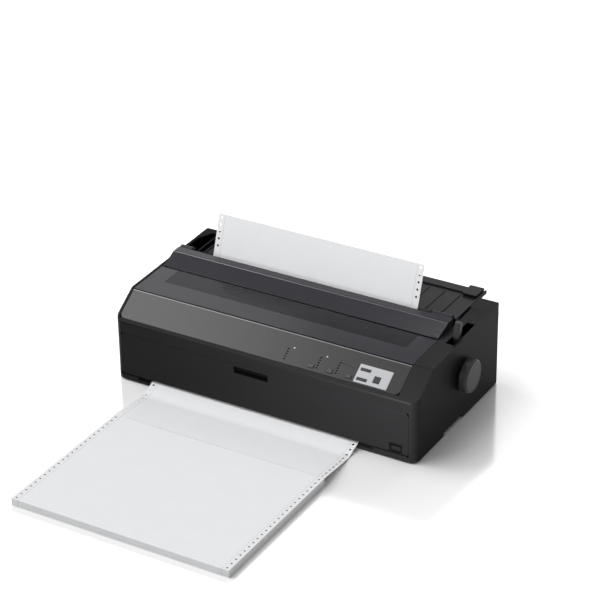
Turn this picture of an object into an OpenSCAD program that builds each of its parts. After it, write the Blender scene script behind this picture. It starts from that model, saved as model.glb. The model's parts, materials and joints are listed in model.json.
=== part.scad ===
// Wide-carriage dot matrix printer with a loaded web of continuous paper.
// Millimetres. X to the right, Y to the rear, Z up; the origin is on the desk,
// at the middle of the floor area that the printer and its paper cover.

/* [Case] */
// Width of the case
body_w = 586; // [580:1:600]
// Depth of the case
body_d = 306; // [304:1:316]
// Height of the front face
front_h = 114.3; // [112:0.1:117]
// Height where the front slope meets the flat top
break_h = 152.4; // [151:0.1:154]
// Height of the top at the rear edge
rear_h = 158.4; // [157:0.1:161]
// Depth that the front slope covers
slope_d = 57.5; // [54:0.5:60]
// Wall thickness of the case parts
wall = 2.5; // [2:0.1:3]
// Corner radius at the front, seen from above
front_r = 15; // [10:1:20]
// Corner radius at the rear, seen from above
rear_r = 8; // [6:1:12]
// Height of the rubber feet
foot_h = 3; // [2:0.5:4]
// Height of the seam between the lower and the upper case
seam_h = 12; // [11:0.5:12.5]
// Width of the fixed strip on the right of the printer cover
strip_w = 36; // [34:1:37]
// Width of the rim on the left of the printer cover
rim_w = 5.5; // [4:0.5:7]

/* [Covers] */
// Gap around every cover and panel
panel_gap = 0.5; // [0.4:0.1:0.8]
// Distance of the front cover from the left side of the case
front_cover_left = 11.8; // [10:0.1:14]
// Distance of the front cover from the right side of the case
front_cover_right = 14.2; // [12:0.1:18]
// Height of the front cover's top edge
front_cover_h = 94; // [88:1:98]
// Depth position where the ridge of the printer cover starts
ridge_y = 145; // [140:1:150]
// Depth position of the ridge's crest
crest_y = 181; // [176:1:184]
// Height of the ridge's crest
crest_h = 168; // [166:0.5:168.5]
// Radius of the printer cover's hinge barrels
cover_barrel_r = 4.5; // [4:0.1:5]
// Distance of the rear paper guide from the left side of the case
guide_left = 43; // [42:1:50]
// Distance of the rear paper guide from the right side of the case
guide_right = 40; // [39:1:50]
// Length of the rear paper guide
guide_l = 118; // [110:1:125]
// Spacing of the ribs on the rear paper guide
rib_pitch = 30; // [20:1:40]

/* [Controls] */
// Width of the grey buttons
small_button_w = 10; // [8:0.5:12]
// Width of the two long buttons
long_button_w = 18.5; // [14:0.5:20]
// Width of the large button
large_button_w = 11.5; // [9:0.5:13]
// Travel of the buttons
button_travel = 1.2; // [0.6:0.1:1.5]
// Width of the label plate
label_w = 61; // [58:1:64]
// Radius of the paper feed knob
knob_r = 30; // [24:1:34]
// Thickness of the paper feed knob
knob_t = 18; // [15:0.5:22]
// Thickness of the paper release lever
lever_t = 11; // [9:0.5:12]
// Height of the paper release lever's tip
lever_top = 181; // [174:1:188]

/* [Paper] */
// Width of the continuous paper
paper_w = 406.4; // [380:0.2:410]
// Length of one folded form
form_l = 292.1; // [279.4:12.7:304.8]
// Pitch of the sprocket holes
hole_pitch = 12.7; // [12:0.1:13]
// Distance of the sprocket holes from the paper's edge
hole_inset = 6.35; // [6:0.05:7]
// Radius of the sprocket holes
hole_r = 2; // [1.6:0.1:2.2]
// Height of the folded stack
stack_h = 13; // [11:0.5:14]
// Distance of the stack from the case front
stack_gap = 122; // [110:1:140]
// How far the stack lies to the right of the paper in the machine
stack_shift = 7.5; // [0:0.5:10]
// Height of the sheet's top edge
sheet_top = 235; // [215:1:245]
// Thickness of the paper web
web_t = 0.3; // [0.2:0.05:0.4]

/* [Mechanism] */
// Radius of the platen roller
platen_r = 19.2; // [18:0.1:19.5]
// Depth position of the platen's axis
platen_y = 173; // [171:0.5:174]
// Height of the platen's axis
platen_z = 85; // [84:0.5:86]
// Radius of the platen shaft
platen_shaft_r = 6; // [5:0.5:7]
// Radius of the carriage guide shaft
guide_shaft_r = 6; // [5:0.5:6.5]
// Radius of the tractor drive shaft
tractor_shaft_r = 4; // [3:0.5:4.5]
// Radius of the tractor guide shaft
tractor_rod_r = 3; // [2.5:0.5:3.5]
// Width of the carriage
carriage_w = 64; // [56:1:66]
// Distance of the ribbon's arms from the side frames
arm_inset = 13; // [8:0.5:16]
// Module of the feed gears
gear_m = 1.5; // [1.4:0.05:1.55]
// Thickness of the gears
gear_t = 6; // [5:0.5:6]
// Thickness of the steel side frames
frame_t = 2; // [1.6:0.1:2.5]
// Running clearance of shafts and pins
fit = 0.05; // [0.03:0.01:0.08]

/* [Hidden] */
$fn = 48;

// ---- places of the case ----
half_w = body_w / 2;
knob_gap = 0.6;
floor_z = foot_h + wall;
strip_x = half_w - strip_w;
// Cuts from above start here and end over the top
open_z = 140;
sky = rear_h + 10;
// The panel and the printer cover reach this deep and lie on ledges
lid_d = 4;
ledge = [lid_d + 0.4, lid_d + 4];

// Height of the case's top surface at depth y
function top_z(y) = y < slope_d
    ? front_h + y * (break_h - front_h) / slope_d
    : break_h + (y - slope_d) * (rear_h - break_h) / (body_d - slope_d);
slope_a = atan2(break_h - front_h, slope_d);

// Bay that the panel and the printer cover close
bay_x0 = -half_w + rim_w;
bay_x1 = strip_x;
bay_y0 = 6.8;
bay_y1 = 213;
panel_y1 = slope_d - 2;
cover_y0 = panel_y1 + 1;
cover_y1 = crest_y + 19;
cover_t = 2.5;

// Hinge of the printer cover
cover_axis = [cover_y1 + 6, crest_h - 2.5];
cover_pin_r = 2.5;
left_tab = [bay_x0 + 2, -half_w + 31];
right_tab = [strip_x - 41, strip_x - 4];
ear_t = 4.6;

// Front cover
front_cover_x0 = -half_w + front_cover_left;
front_cover_x1 = half_w - front_cover_right;
front_cover_z0 = seam_h + 2;
front_axis = [3.5, front_cover_z0 + 2];
front_pin_r = 1.8;
recess = [[-53.5, 77.5], [13.5, 90.5]];
recess_d = 12;

// Rear paper guide
guide_x0 = -half_w + guide_left;
guide_x1 = half_w - guide_right;
guide_y0 = bay_y1 + 4;
guide_y1 = guide_y0 + guide_l;
guide_z = 150.5;
guide_t = 4;
guide_axis = [guide_y0 + 4, guide_z + 2];
guide_pin_r = 2;
rail_y = guide_y1 - 25;
rib_h = 1.2;
side_gap = 1.5;
edge_guide_w = 27;

// Control panel features, as [x, y] on the slope; x runs from the panel's right edge
label_x = strip_x - 55.5;
label_y = [9.5, 37.5];
button_y = 14.8;
small_x = [for (d = [168, 132.5, 97]) strip_x - d];
long_at = [for (y = [30.3, 15.2]) [strip_x - 73, y]];
large_at = [strip_x - 47.4, 20.2];
column_x = [for (d = [219, 157, 121]) strip_x - d];
column_y = [14, 33];
mode_lights = [[strip_x - 210, 33.8], [strip_x - 147.5, 34.1]];

// ---- places of the mechanism ----
frame_x0 = -half_w + 31;
frame_x1 = half_w - 53;
frame_y = [26, body_d - 44];
frame_top = 136;
gear_x = frame_x1 + 2.5;
shaft_y = 118;
shaft_z = 64;
// Middle of the paper, a little to the left of the middle between the side frames
bed_x = (frame_x0 + frame_x1) / 2 - 7.7;
paper_x0 = bed_x - paper_w / 2;
paper_x1 = paper_x0 + paper_w;
hole_x = [paper_x0 + hole_inset, paper_x1 - hole_inset];

// ---- path of the paper web, as [y, z] points on its middle line ----
function unit(v) = v / norm(v);
function turn(a, b, c) = let (u = unit(b - a), w = unit(c - b)) atan2(u.x * w.y - u.y * w.x, u * w);
// Arc that rounds corner b of the path a, b, c with radius r
function corner(a, b, c, r, n = 8) =
    let (t = turn(a, b, c), l = r * tan(abs(t) / 2), u = unit(b - a), s = sign(t),
         from = b - u * l, centre = from + s * r * [-u.y, u.x], start = from - centre)
    [for (i = [0:n]) let (k = t * i / n)
        centre + [start.x * cos(k) - start.y * sin(k), start.x * sin(k) + start.y * cos(k)]];
function rounded(p, r) = concat([p[0]],
    [for (i = [1:len(p) - 2]) each corner(p[i - 1], p[i], p[i + 1], r[i])], [p[len(p) - 1]]);
// Points of a line moved sideways by d
function shifted(p, d) = [for (i = [0:len(p) - 1])
    let (u = unit(p[min(i + 1, len(p) - 1)] - p[max(i - 1, 0)])) p[i] + d * [-u.y, u.x]];
function reversed(p) = [for (i = [len(p) - 1:-1:0]) p[i]];

platen_c = [platen_y, platen_z];
wrap_r = platen_r + 0.4 + web_t / 2;
exit_at = [bay_y1 - 2.8, 163];
exit_far = norm(exit_at - platen_c);
exit_a = atan2(exit_at.y - platen_c.y, exit_at.x - platen_c.x) - asin(wrap_r / exit_far);
front_of_platen = platen_y - wrap_r;
wrap_corner = [front_of_platen,
    exit_at.y - (exit_at.x - front_of_platen) * tan(exit_a)];
sheet_lean = 18.5;
sheet_end = exit_at + (sheet_top - exit_at.y) * [tan(sheet_lean), 1];
tractor_from = [38, 28.3];
tractor_to = [84, 43];
dip_at = [-30, 0.8];
entry_at = [8, 11.4];
web_start = [-stack_gap, stack_h + web_t / 2];
web_points = [web_start, dip_at, entry_at, tractor_from, tractor_to,
    [front_of_platen, 50], wrap_corner, exit_at, sheet_end];
web_radii = [0, 36, 20, 20, 60, 24, wrap_r, 25, 0];

// ---- tractors, in a frame that lies on the web between the two shafts ----
tractor_a = atan2(tractor_to.y - tractor_from.y, tractor_to.x - tractor_from.x);
tractor_mid = (tractor_from + tractor_to) / 2 + [1, tan(tractor_a)];
tractor_l = 40;
tractor_w = 24;
tractor_drop = 11;
function on_tractor(u, v) = tractor_mid
    + u * [cos(tractor_a), sin(tractor_a)] + v * [-sin(tractor_a), cos(tractor_a)];
drive_u = -9;
rod_u = 11;
drive_at = on_tractor(drive_u, -tractor_drop);
rod_at = on_tractor(rod_u, -tractor_drop);

// ---- gear train: tooth counts and centres as [y, z] ----
platen_n = 34;
reduction_n = 32;
transfer_n = 36;
tractor_n = 16;
pinion_n = 10;
function pitch_r(n) = n * gear_m / 2;
function polar(r, a) = r * [cos(a), sin(a)];
// Point at distance ra from a and rb from b, on the left of the way from a to b
function meet(a, ra, b, rb) =
    let (d = norm(b - a), u = unit(b - a), m = (ra * ra - rb * rb + d * d) / (2 * d))
    a + m * u + sqrt(ra * ra - m * m) * [-u.y, u.x];
function heading(a, b) = atan2(b.y - a.y, b.x - a.x);
reduction_c = platen_c + polar(pitch_r(platen_n + reduction_n), 198);
transfer_c = meet(drive_at, pitch_r(tractor_n + transfer_n), reduction_c, pitch_r(reduction_n + transfer_n));
pinion_c = reduction_c + polar(pitch_r(reduction_n + pinion_n), -40);
// Angle of a tooth of the gear at b that meshes with the gear at a
function meshed(a, na, ta, b, nb) = let (h = heading(a, b)) h + 180 - 180 / nb + (h - ta) * na / nb;
reduction_tooth = meshed(platen_c, platen_n, 0, reduction_c, reduction_n);
transfer_tooth = meshed(reduction_c, reduction_n, reduction_tooth, transfer_c, transfer_n);
tractor_tooth = meshed(transfer_c, transfer_n, transfer_tooth, drive_at, tractor_n);
pinion_tooth = meshed(reduction_c, reduction_n, reduction_tooth, pinion_c, pinion_n);

// ---- carriage: it runs on the guide shaft and the front rail, between the ribbon's two arms ----
span_x = [frame_x0 + frame_t, frame_x1];
arm_w = 18;
arm_gap = [7, 3];
arm_x = [[span_x.x + arm_inset, span_x.x + arm_inset + arm_w],
    [span_x.y - arm_inset - arm_w, span_x.y - arm_inset]];
carriage_x = arm_x[0].y + arm_gap[0] + carriage_w / 2;
carriage_end = arm_x[1].x - arm_gap[1] - carriage_w / 2;
carriage_d = 40;
head_z = [shaft_z + 14, shaft_z + 28];
front_rail_y = [shaft_y - 54, shaft_y - 26];
front_rail_z = [shaft_z + 2, shaft_z + 18];
// The print head's tip stands this far before the paper
head_gap = 1.6;
tip_y = front_of_platen - web_t / 2 - head_gap;
ribbon_t = 0.25;
ribbon_z = [platen_z - 6, platen_z + 7];

// ---- carriage drive ----
belt_y = shaft_y - 10;
belt_z = [47.5, 53.5];
belt_t = 1.2;
pulley_r = 6;
pulley_x = [frame_x0 + 24, frame_x1 - 18];

// ---- the origin: middle of the floor area that printer and paper cover ----
case_x = -(knob_gap + knob_t) / 2;
case_y = (stack_gap + form_l - guide_y1) / 2;

// ---- helpers ----
module seat() translate([case_x, case_y, 0]) children();
module block(lo, hi) translate(lo) cube(hi - lo);
// A profile drawn as [y, z], from x0 to x1
module along_x(x0, x1) translate([x0, 0, 0]) rotate([90, 0, 90]) linear_extrude(x1 - x0) children();
// A rod along X at the [y, z] place p
module rod_x(p, r, x0, x1) along_x(x0, x1) translate(p) circle(r);
module on_slope(x, y) translate([x, y, top_z(y)]) rotate([slope_a, 0, 0]) children();
module on_web() translate([0, tractor_mid.x, tractor_mid.y]) rotate([tractor_a, 0, 0]) children();
// A plan rectangle with round corners: rf at the front, rr at the rear
module plan(x0, x1, y0, y1, rf, rr) {
    translate([x0, y0 + rf]) square([x1 - x0, y1 - y0 - rf - rr]);
    translate([x0 + rf, y0]) square([x1 - x0 - 2 * rf, rf + 1]);
    translate([x0 + rr, y1 - rr - 1]) square([x1 - x0 - 2 * rr, rr + 1]);
    for (x = [x0 + rf, x1 - rf]) translate([x, y0 + rf]) circle(rf);
    for (x = [x0 + rr, x1 - rr]) translate([x, y1 - rr]) circle(rr);
}
// The case's top surface as a profile, lowered by d, down to height z
module case_profile(z, d, inset) {
    edge = rounded([[inset, z], [inset, top_z(inset) - d], [slope_d, break_h - d],
        [body_d - inset, top_z(body_d - inset) - d], [body_d - inset, z]], [0, 5, 12, 4, 0]);
    polygon(edge);
}
// A strip just under the top surface, between depths d0 and d1
module under_top(y0, y1, d0, d1) {
    ys = y0 < slope_d && y1 > slope_d ? [y0, slope_d, y1] : [y0, y1];
    polygon(concat([for (y = ys) [y, top_z(y) - d0]],
        reversed([for (y = ys) [y, top_z(y) - d1]])));
}
// A spur gear on an axis along X at the [y, z] place c
module gear(c, n, tooth, bore, x, t) {
    rp = pitch_r(n);
    root = rp - 1.25 * gear_m;
    tip = rp + 0.95 * gear_m;
    step = 360 / n;
    along_x(x, x + t) translate(c) difference() {
        rotate(tooth) polygon([for (i = [0:n - 1], k = [[root, -0.32], [rp, -0.225], [tip, -0.1],
            [tip, 0.1], [rp, 0.225], [root, 0.32]]) polar(k[0], (i + k[1]) * step)]);
        circle(bore);
    }
}

// ---- case ----
module lower_case() color("#26262a") seat() {
    difference() {
        union() {
            difference() {
                translate([0, 0, foot_h]) linear_extrude(seam_h - foot_h)
                    plan(-half_w, half_w, 0, body_d, front_r, rear_r);
                translate([0, 0, floor_z]) linear_extrude(seam_h)
                    plan(-half_w + wall, half_w - wall, wall, body_d - wall, front_r - wall, rear_r - wall);
            }
            for (s = [-1, 1]) block([s > 0 ? half_w - 10 : -half_w + 1, 97, foot_h + 1],
                [s > 0 ? half_w - 1 : -half_w + 10, 173, seam_h]);
            for (p = board_posts) translate([p.x, p.y, floor_z - 1]) cylinder(r = 4, h = board_z - floor_z + 1);
        }
        // slot in the front edge where the paper goes in
        block([paper_x0 - 28, -1, foot_h + 4], [paper_x1 + 28.5, wall + 1, seam_h + 1]);
        // finger grips in both sides
        for (s = [-1, 1]) block([s > 0 ? half_w - 7.5 : -half_w - 1, 100, foot_h - 1],
            [s > 0 ? half_w + 1 : -half_w + 7.5, 170, seam_h - 3]);
        for (p = screw_at) translate([p.x, p.y, 0]) cylinder(r = screw_r + 0.2, h = 20);
        for (p = screw_at) translate([p.x, p.y, 0]) cylinder(r = screw_head_r + 0.3, h = foot_h + 1);
    }
}
board_z = 14;
main_board_x = [-half_w + 45, 90];
power_board_x = [104, frame_x1 - 8];
board_y = [body_d - 120, body_d - 10];
board_posts = [for (x = [main_board_x.x + 6, main_board_x.y - 6, power_board_x.x + 6, power_board_x.y - 6],
    y = [board_y.x + 6, board_y.y - 6]) [x, y]];
screw_r = 2;
screw_head_r = 3.6;
screw_at = [for (x = [-half_w + 9, half_w - 9], y = [22, body_d - 16]) [x, y]];
inlet_x = half_w - 101;
inlet_w = 28;
inlet_z = [22, 46];
board_t = 1.6;
// Ports as [left, right, height of the shell]; a port's shell stands on the board
port_z = board_z + board_t;
ports = [[-half_w + 111, -half_w + 173, 13], [-half_w + 193, -half_w + 206, 12]];

module upper_case() color("#2b2b30") seat() {
    difference() {
        union() {
            difference() {
                intersection() {
                    along_x(-half_w, half_w) case_profile(seam_h, 0, 0);
                    linear_extrude(sky) plan(-half_w, half_w, 0, body_d, front_r, rear_r);
                }
                intersection() {
                    along_x(-half_w, half_w) case_profile(seam_h - 1, wall, wall);
                    linear_extrude(sky)
                        plan(-half_w + wall, half_w - wall, wall, body_d - wall, front_r - wall, rear_r - wall);
                }
                // bay for the panel and the printer cover
                block([bay_x0, bay_y0, front_h - 10], [bay_x1, bay_y1, sky]);
                // opening under the rear paper guide, and the dark well on its left
                block([guide_x0 - side_gap, bay_y1 - 1, open_z], [guide_x1 + side_gap, body_d - 6, sky]);
                block([guide_x0 - side_gap, bay_y1, guide_z - 1.5], [guide_x1 + side_gap, body_d + 1, sky]);
                translate([0, 0, open_z]) linear_extrude(sky) polygon(well);
                // front opening behind the front cover
                block([front_cover_x0 - panel_gap, -1, seam_h - 1],
                    [front_cover_x1 + panel_gap, wall + 1, front_cover_h + panel_gap]);
            }
            // inner wall of the right strip
            along_x(strip_x, strip_x + wall) intersection() {
                case_profile(70, 0.1, 1);
                translate([bay_y0, 70]) square([guide_y0 + 60 - bay_y0, 100]);
            }
            // ledges that the panel and the printer cover lie on
            along_x(-half_w + 1, bay_x0 + 4.7) under_top(bay_y0 - 3, cover_y1 - 4, ledge.x, ledge.y);
            along_x(strip_x - 4.5, strip_x + 1) under_top(bay_y0 - 3, cover_y1 - 4, ledge.x, ledge.y);
            along_x(-half_w + 1, half_w - 1) under_top(wall - 1, bay_y0 + 3, ledge.x, ledge.y - 1);
            // lip behind the paper's exit, with the ears of both rear hinges
            along_x(-half_w + 1, strip_x + 1) exit_lip();
            for (x = cover_ear_x) along_x(x, x + ear_t) cover_ear();
            for (x = guide_ear_x) along_x(x, x + 3.4) guide_ear();
            // thin rib in the left well
            along_x(well_rib, well_rib + 3) under_top(well[0].y - 2, well[2].y + 2, 1, 30);
            // bearing ribs of the front cover
            for (x = [front_cover_x0 - panel_gap - 4, front_cover_x1 + panel_gap])
                block([x, 1, seam_h], [x + 4, 9, front_axis.y + 8]);
            // screw posts
            for (p = screw_at) translate([p.x, p.y, seam_h]) cylinder(r = 7, h = 40);
            // pivot boss of the paper release lever
            rod_x(lever_axis, lever_pin_r, strip_x + 1, lever_x0 + lever_t + 2);
        }
        rod_x(cover_axis, cover_pin_r + fit, left_tab.y - 2, left_tab.y + 20);
        rod_x(cover_axis, cover_pin_r + fit, right_tab.x - 20, right_tab.x + 2);
        rod_x(guide_axis, guide_pin_r + fit, guide_x0 - 8, guide_x1 + 8);
        rod_x(front_axis, front_pin_r + fit, front_cover_x0 - 3.4, front_cover_x1 + 3.4);
        rod_x(platen_c, platen_shaft_r + 2, strip_x - 1, half_w + 1);
        for (p = screw_at) translate([p.x, p.y, 0]) cylinder(r = screw_r, h = seam_h + 12);
        // slot of the paper release lever, and the dip in the strip around it
        block([lever_x0 - 1.5, lever_slot_y.x, open_z], [lever_x0 + lever_t + 3.5, lever_slot_y.y, sky]);
        along_x(strip_x - 1, half_w - 7) polygon(concat([for (k = dip) [k[0], top_z(k[0]) - k[1]]],
            [[dip[3][0], sky], [dip[0][0], sky]]));
        // slit between the strip and the rear paper guide
        block([strip_x - 3, guide_axis.x + 4.5, open_z], [strip_x + 0.5, guide_y0 + 51, sky]);
        // mains inlet, interface ports and cooling slots in the rear wall
        block([inlet_x - 0.3, body_d - wall - 1, inlet_z.x - 0.3],
            [inlet_x + inlet_w + 0.3, body_d + 1, inlet_z.y + 0.3]);
        for (p = ports)
            block([p.x - 0.5, body_d - wall - 1, port_z - 0.4], [p.y + 0.5, body_d + 1, port_z + p.z + 0.4]);
        for (i = [0:vents - 1]) block([vent_x + i * 2 * vent_w, body_d - wall - 1, vent_z.x],
            [vent_x + (2 * i + 1) * vent_w, body_d + 1, vent_z.y]);
    }
}
vents = 18;
vent_w = 7;
vent_x = -120;
vent_z = [70, 110];
lever_x0 = half_w - 19;
lever_axis = [178, 118];
lever_slot_y = [lever_axis.x - 37, lever_axis.x + 43];
lever_pin_r = 3;
// Points of the dip as [depth, distance under the top]
dip = [[186, 0], [199, 1.8], [252, 1.8], [266, 0]];
// Dark well on the left of the rear paper guide, seen from above, and the rib that crosses it
well = [[-half_w + rim_w, guide_y0 + 2], [-half_w + rim_w, guide_y0 + 45], [-half_w + 18, body_d - 16],
    [guide_x0 - 1, body_d - 16], [guide_x0 - 1, guide_y0 + 2]];
well_rib = -half_w + 29;
cover_ear_x = [left_tab.y + 0.4, right_tab.x - 0.4 - ear_t];
guide_ear_x = [guide_x0 - 0.5 - 3.4, guide_x1 + 0.5];
lip_z = [120, 160.5];
module exit_lip() polygon([[bay_y1, lip_z.x], [bay_y1 + wall, lip_z.x], [bay_y1 + wall, lip_z.y - 2.5],
    [bay_y1 + 1.8, lip_z.y], [bay_y1 + 0.8, lip_z.y], [bay_y1, lip_z.y - 2]]);
module cover_ear() union() {
    translate(cover_axis) circle(cover_barrel_r);
    polygon([cover_axis + [-1.5, -cover_barrel_r + 0.4], cover_axis + [cover_barrel_r, 0],
        [bay_y1 + 1, lip_z.y - 2.5], [bay_y1 + 1, open_z], [bay_y1 - 1, open_z]]);
}
module guide_ear() union() {
    translate(guide_axis) circle(4);
    polygon([guide_axis + [-1, 4], guide_axis + [1.5, -3.5], [bay_y1 + 1, open_z], [bay_y1 + 1, lip_z.y - 4.5]]);
}

module front_cover() color("#202024") seat() {
    x0 = front_cover_x0;
    x1 = front_cover_x1;
    difference() {
        union() {
            translate([0, wall, 0]) rotate([90, 0, 0]) linear_extrude(wall)
                plan(x0, x1, front_cover_z0, front_cover_h, 1.5, 9);
            block([recess[0].x - 2, wall - 0.5, recess[0].y - 2], [recess[1].x + 2, recess_d + 2, recess[1].y + 2]);
            for (x = [x0 + 2, (x0 + x1) / 2 - 58, x1 - 10])
                block([x, wall - 0.5, front_axis.y - 2], [x + 8, front_axis.x + 1, front_axis.y + 2]);
            for (x = [x0 + 20, x1 - 60]) block([x, wall - 0.5, front_cover_z0 + 22], [x + 3, 7, front_cover_h - 6]);
            rod_x(front_axis, front_pin_r, x0 - 3, x0 + 6);
            rod_x(front_axis, front_pin_r, x1 - 6, x1 + 3);
        }
        block([recess[0].x, -1, recess[0].y], [recess[1].x, recess_d, recess[1].y]);
        block([switch_x.x - 0.6, -1, 0], [switch_x.y + 0.6, 20, switch_z.y + 0.8]);
    }
}
switch_x = [half_w - 49, half_w - 26.5];
switch_z = [seam_h + 1.6, seam_h + 18.6];
rocker_axis = [9, (switch_z.x + switch_z.y) / 2];

module switch_housing() color("#18181b") seat() difference() {
    union() {
        block([switch_x.x, 0, switch_z.x], [switch_x.y, 22, switch_z.y]);
        block([switch_x.x - 3, 19.8, floor_z], [switch_x.y + 3, 22, switch_z.y]);
    }
    block([switch_x.x + 2, -1, switch_z.x + 2], [switch_x.y - 2, 16, switch_z.y - 2]);
    rod_x(rocker_axis, 1.5 + fit, switch_x.x + 0.8, switch_x.y - 0.8);
}
module power_switch() color("#0d0d0f") seat() {
    rod_x(rocker_axis, 1.5, switch_x.x + 1, switch_x.y - 1);
    along_x(switch_x.x + 2.5, switch_x.y - 2.5) polygon([rocker_axis + [-9.4, -4.2], rocker_axis + [-7.8, 0.2],
        rocker_axis + [-8, 4.2], rocker_axis + [4, 3], rocker_axis + [4, -3]]);
}

module control_panel() color("#4a4a4d") seat() difference() {
    intersection() {
        along_x(bay_x0 + panel_gap, bay_x1 - panel_gap) under_top(bay_y0 + panel_gap, panel_y1, 0, lid_d);
        linear_extrude(sky) plan(bay_x0 + panel_gap, bay_x1 - panel_gap, bay_y0 + panel_gap, panel_y1, 9, 0.5);
    }
    for (b = buttons) on_slope(b[0], b[1]) button_hole(b[2], b[3], 0.35);
    for (p = lights) on_slope(p.x, p.y) translate([0, 0, -8]) cylinder(r = light_r, h = 12);
}
// Buttons as [x, y, width, height]
button_h = 7.5;
long_button_h = 5;
buttons = concat([for (x = small_x) [x, button_y, small_button_w, button_h]],
    [for (p = long_at) [p.x, p.y, long_button_w, long_button_h]],
    [[large_at.x, large_at.y, large_button_w, 12]]);
light_r = 1.1;
lights = concat(mode_lights,
    [for (x = column_x, i = [0:4]) [x, column_y.x + i * (column_y.y - column_y.x) / 4.6]]);
module button_hole(w, h, gap) translate([-w / 2 - gap, -h / 2 - gap, -12]) cube([w + 2 * gap, h + 2 * gap, 20]);
// A button stands proud by its travel; a flange under the panel keeps it in
button_root = 7.5;
flange_t = 1.4;
flange_w = [1.2, 0.8];
module button(b) seat() on_slope(b[0], b[1]) {
    translate([-b[2] / 2, -b[3] / 2, -button_root]) cube([b[2], b[3], button_root + button_travel]);
    translate([-b[2] / 2 - flange_w.x, -b[3] / 2 - flange_w.y, -button_root])
        cube([b[2] + 2 * flange_w.x, b[3] + 2 * flange_w.y, flange_t]);
}
module button_menu() color("#6b6b6e") button(buttons[0]);
module button_font() color("#6b6b6e") button(buttons[1]);
module button_tear_off() color("#6b6b6e") button(buttons[2]);
module button_load() color("#2e2e32") button(buttons[3]);
module button_feed() color("#2e2e32") button(buttons[4]);
module button_pause() color("#2e2e32") button(buttons[5]);

label_t = 0.5;
module label_plate() color("#b9bbbe") seat() difference() {
    along_x(label_x - label_w / 2, label_x + label_w / 2) under_top(label_y.x, label_y.y, -label_t, 0);
    for (b = buttons) on_slope(b[0], b[1]) button_hole(b[2], b[3], 0.35);
}
module status_lights() color("#9fb0a0") seat() for (p = lights) on_slope(p.x, p.y)
    translate([0, 0, -4]) cylinder(r = light_r, h = 4.5);

module printer_cover() color("#3a3844", 0.9) seat() {
    x0 = bay_x0 + panel_gap;
    x1 = bay_x1 - panel_gap;
    outer = [[cover_y0, top_z(cover_y0)], [ridge_y, top_z(ridge_y)], [crest_y, crest_h],
        [cover_y1, crest_h + 0.6], [cover_y1, crest_h - 9]];
    inner = [[cover_y0, top_z(cover_y0) - cover_t], [ridge_y + 1, top_z(ridge_y) - cover_t],
        [crest_y + 0.8, crest_h - cover_t], [cover_y1 - cover_t, crest_h - cover_t + 0.6],
        [cover_y1 - cover_t, crest_h - 9]];
    along_x(x0, x1) polygon(concat(outer, reversed(inner)));
    for (x = [x0, x1 - cover_t]) along_x(x, x + cover_t)
        polygon(concat(outer, [for (y = [cover_y1, slope_d, cover_y0]) [y, top_z(y) - lid_d]]));
    for (t = [left_tab, right_tab]) along_x(t.x, t.y) {
        translate(cover_axis) circle(cover_barrel_r);
        polygon([[cover_y1 - 2, crest_h + 0.6], cover_axis + [0, cover_barrel_r],
            cover_axis + [0, -2], [cover_y1 - 2, crest_h - 5]]);
    }
    rod_x(cover_axis, cover_pin_r, left_tab.y - 1, left_tab.y + ear_t);
    rod_x(cover_axis, cover_pin_r, right_tab.x - ear_t, right_tab.x + 1);
}

module paper_guide() color("#2f2f33") seat() difference() {
    union() {
        block([guide_x0, guide_y0, guide_z], [guide_x1, guide_y1, guide_z + guide_t]);
        for (x = [guide_x0 + 18.5:rib_pitch:guide_x1 - 5])
            block([x, guide_y0 + 14, guide_z + guide_t - 0.5], [x + 1.6, rail_y - 8, guide_z + guide_t + rib_h]);
        for (x = [guide_x0, guide_x1 - 3])
            block([x, guide_y0 + 1.5, guide_z + 1], [x + 3, guide_y1, guide_z + guide_t + 2.4]);
        block([guide_x0 + 3.4, rail_y, guide_z + 1], [guide_x1 - 3.4, rail_y + 4, guide_z + guide_t + 3]);
        for (s = [0, 1]) rod_x(guide_axis, guide_pin_r, s ? guide_x1 - 6 : guide_x0 - 3.4, s ? guide_x1 + 3.4 : guide_x0 + 6);
    }
    block([guide_x0 - 1, guide_y0 - 1, guide_z - 1], [guide_x1 + 1, guide_y0 + 1.5, guide_z + 1]);
}
module edge_guide(x) seat() difference() {
    block([x, rail_y - 8, guide_z + guide_t + rib_h + 0.3], [x + edge_guide_w, guide_y1 - 0.5, edge_guide_z]);
    block([x - 1, rail_y - 0.3, guide_z + 1], [x + edge_guide_w + 1, rail_y + 4.3, guide_z + guide_t + 3.3]);
}
edge_guide_z = guide_z + guide_t + 5.8;
module edge_guide_left() color("#3b3b40") edge_guide(guide_x0 + 4);
module edge_guide_right() color("#3b3b40") edge_guide(guide_x1 - 4 - edge_guide_w);

foot_at = [for (x = [-half_w + 28, half_w - 28], y = [25, body_d - 25]) [x, y]];
module rubber_feet() color("#111113") seat() for (p = foot_at) translate([p.x, p.y, 0]) cylinder(r = 9, h = foot_h);
module case_screws() color("#9a9a9e") seat() for (p = screw_at) translate([p.x, p.y, foot_h + 1]) {
    translate([0, 0, -2.4]) cylinder(r = screw_head_r, h = 2.4);
    cylinder(r = screw_r - 0.05, h = seam_h + 8 - foot_h);
}

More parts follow.
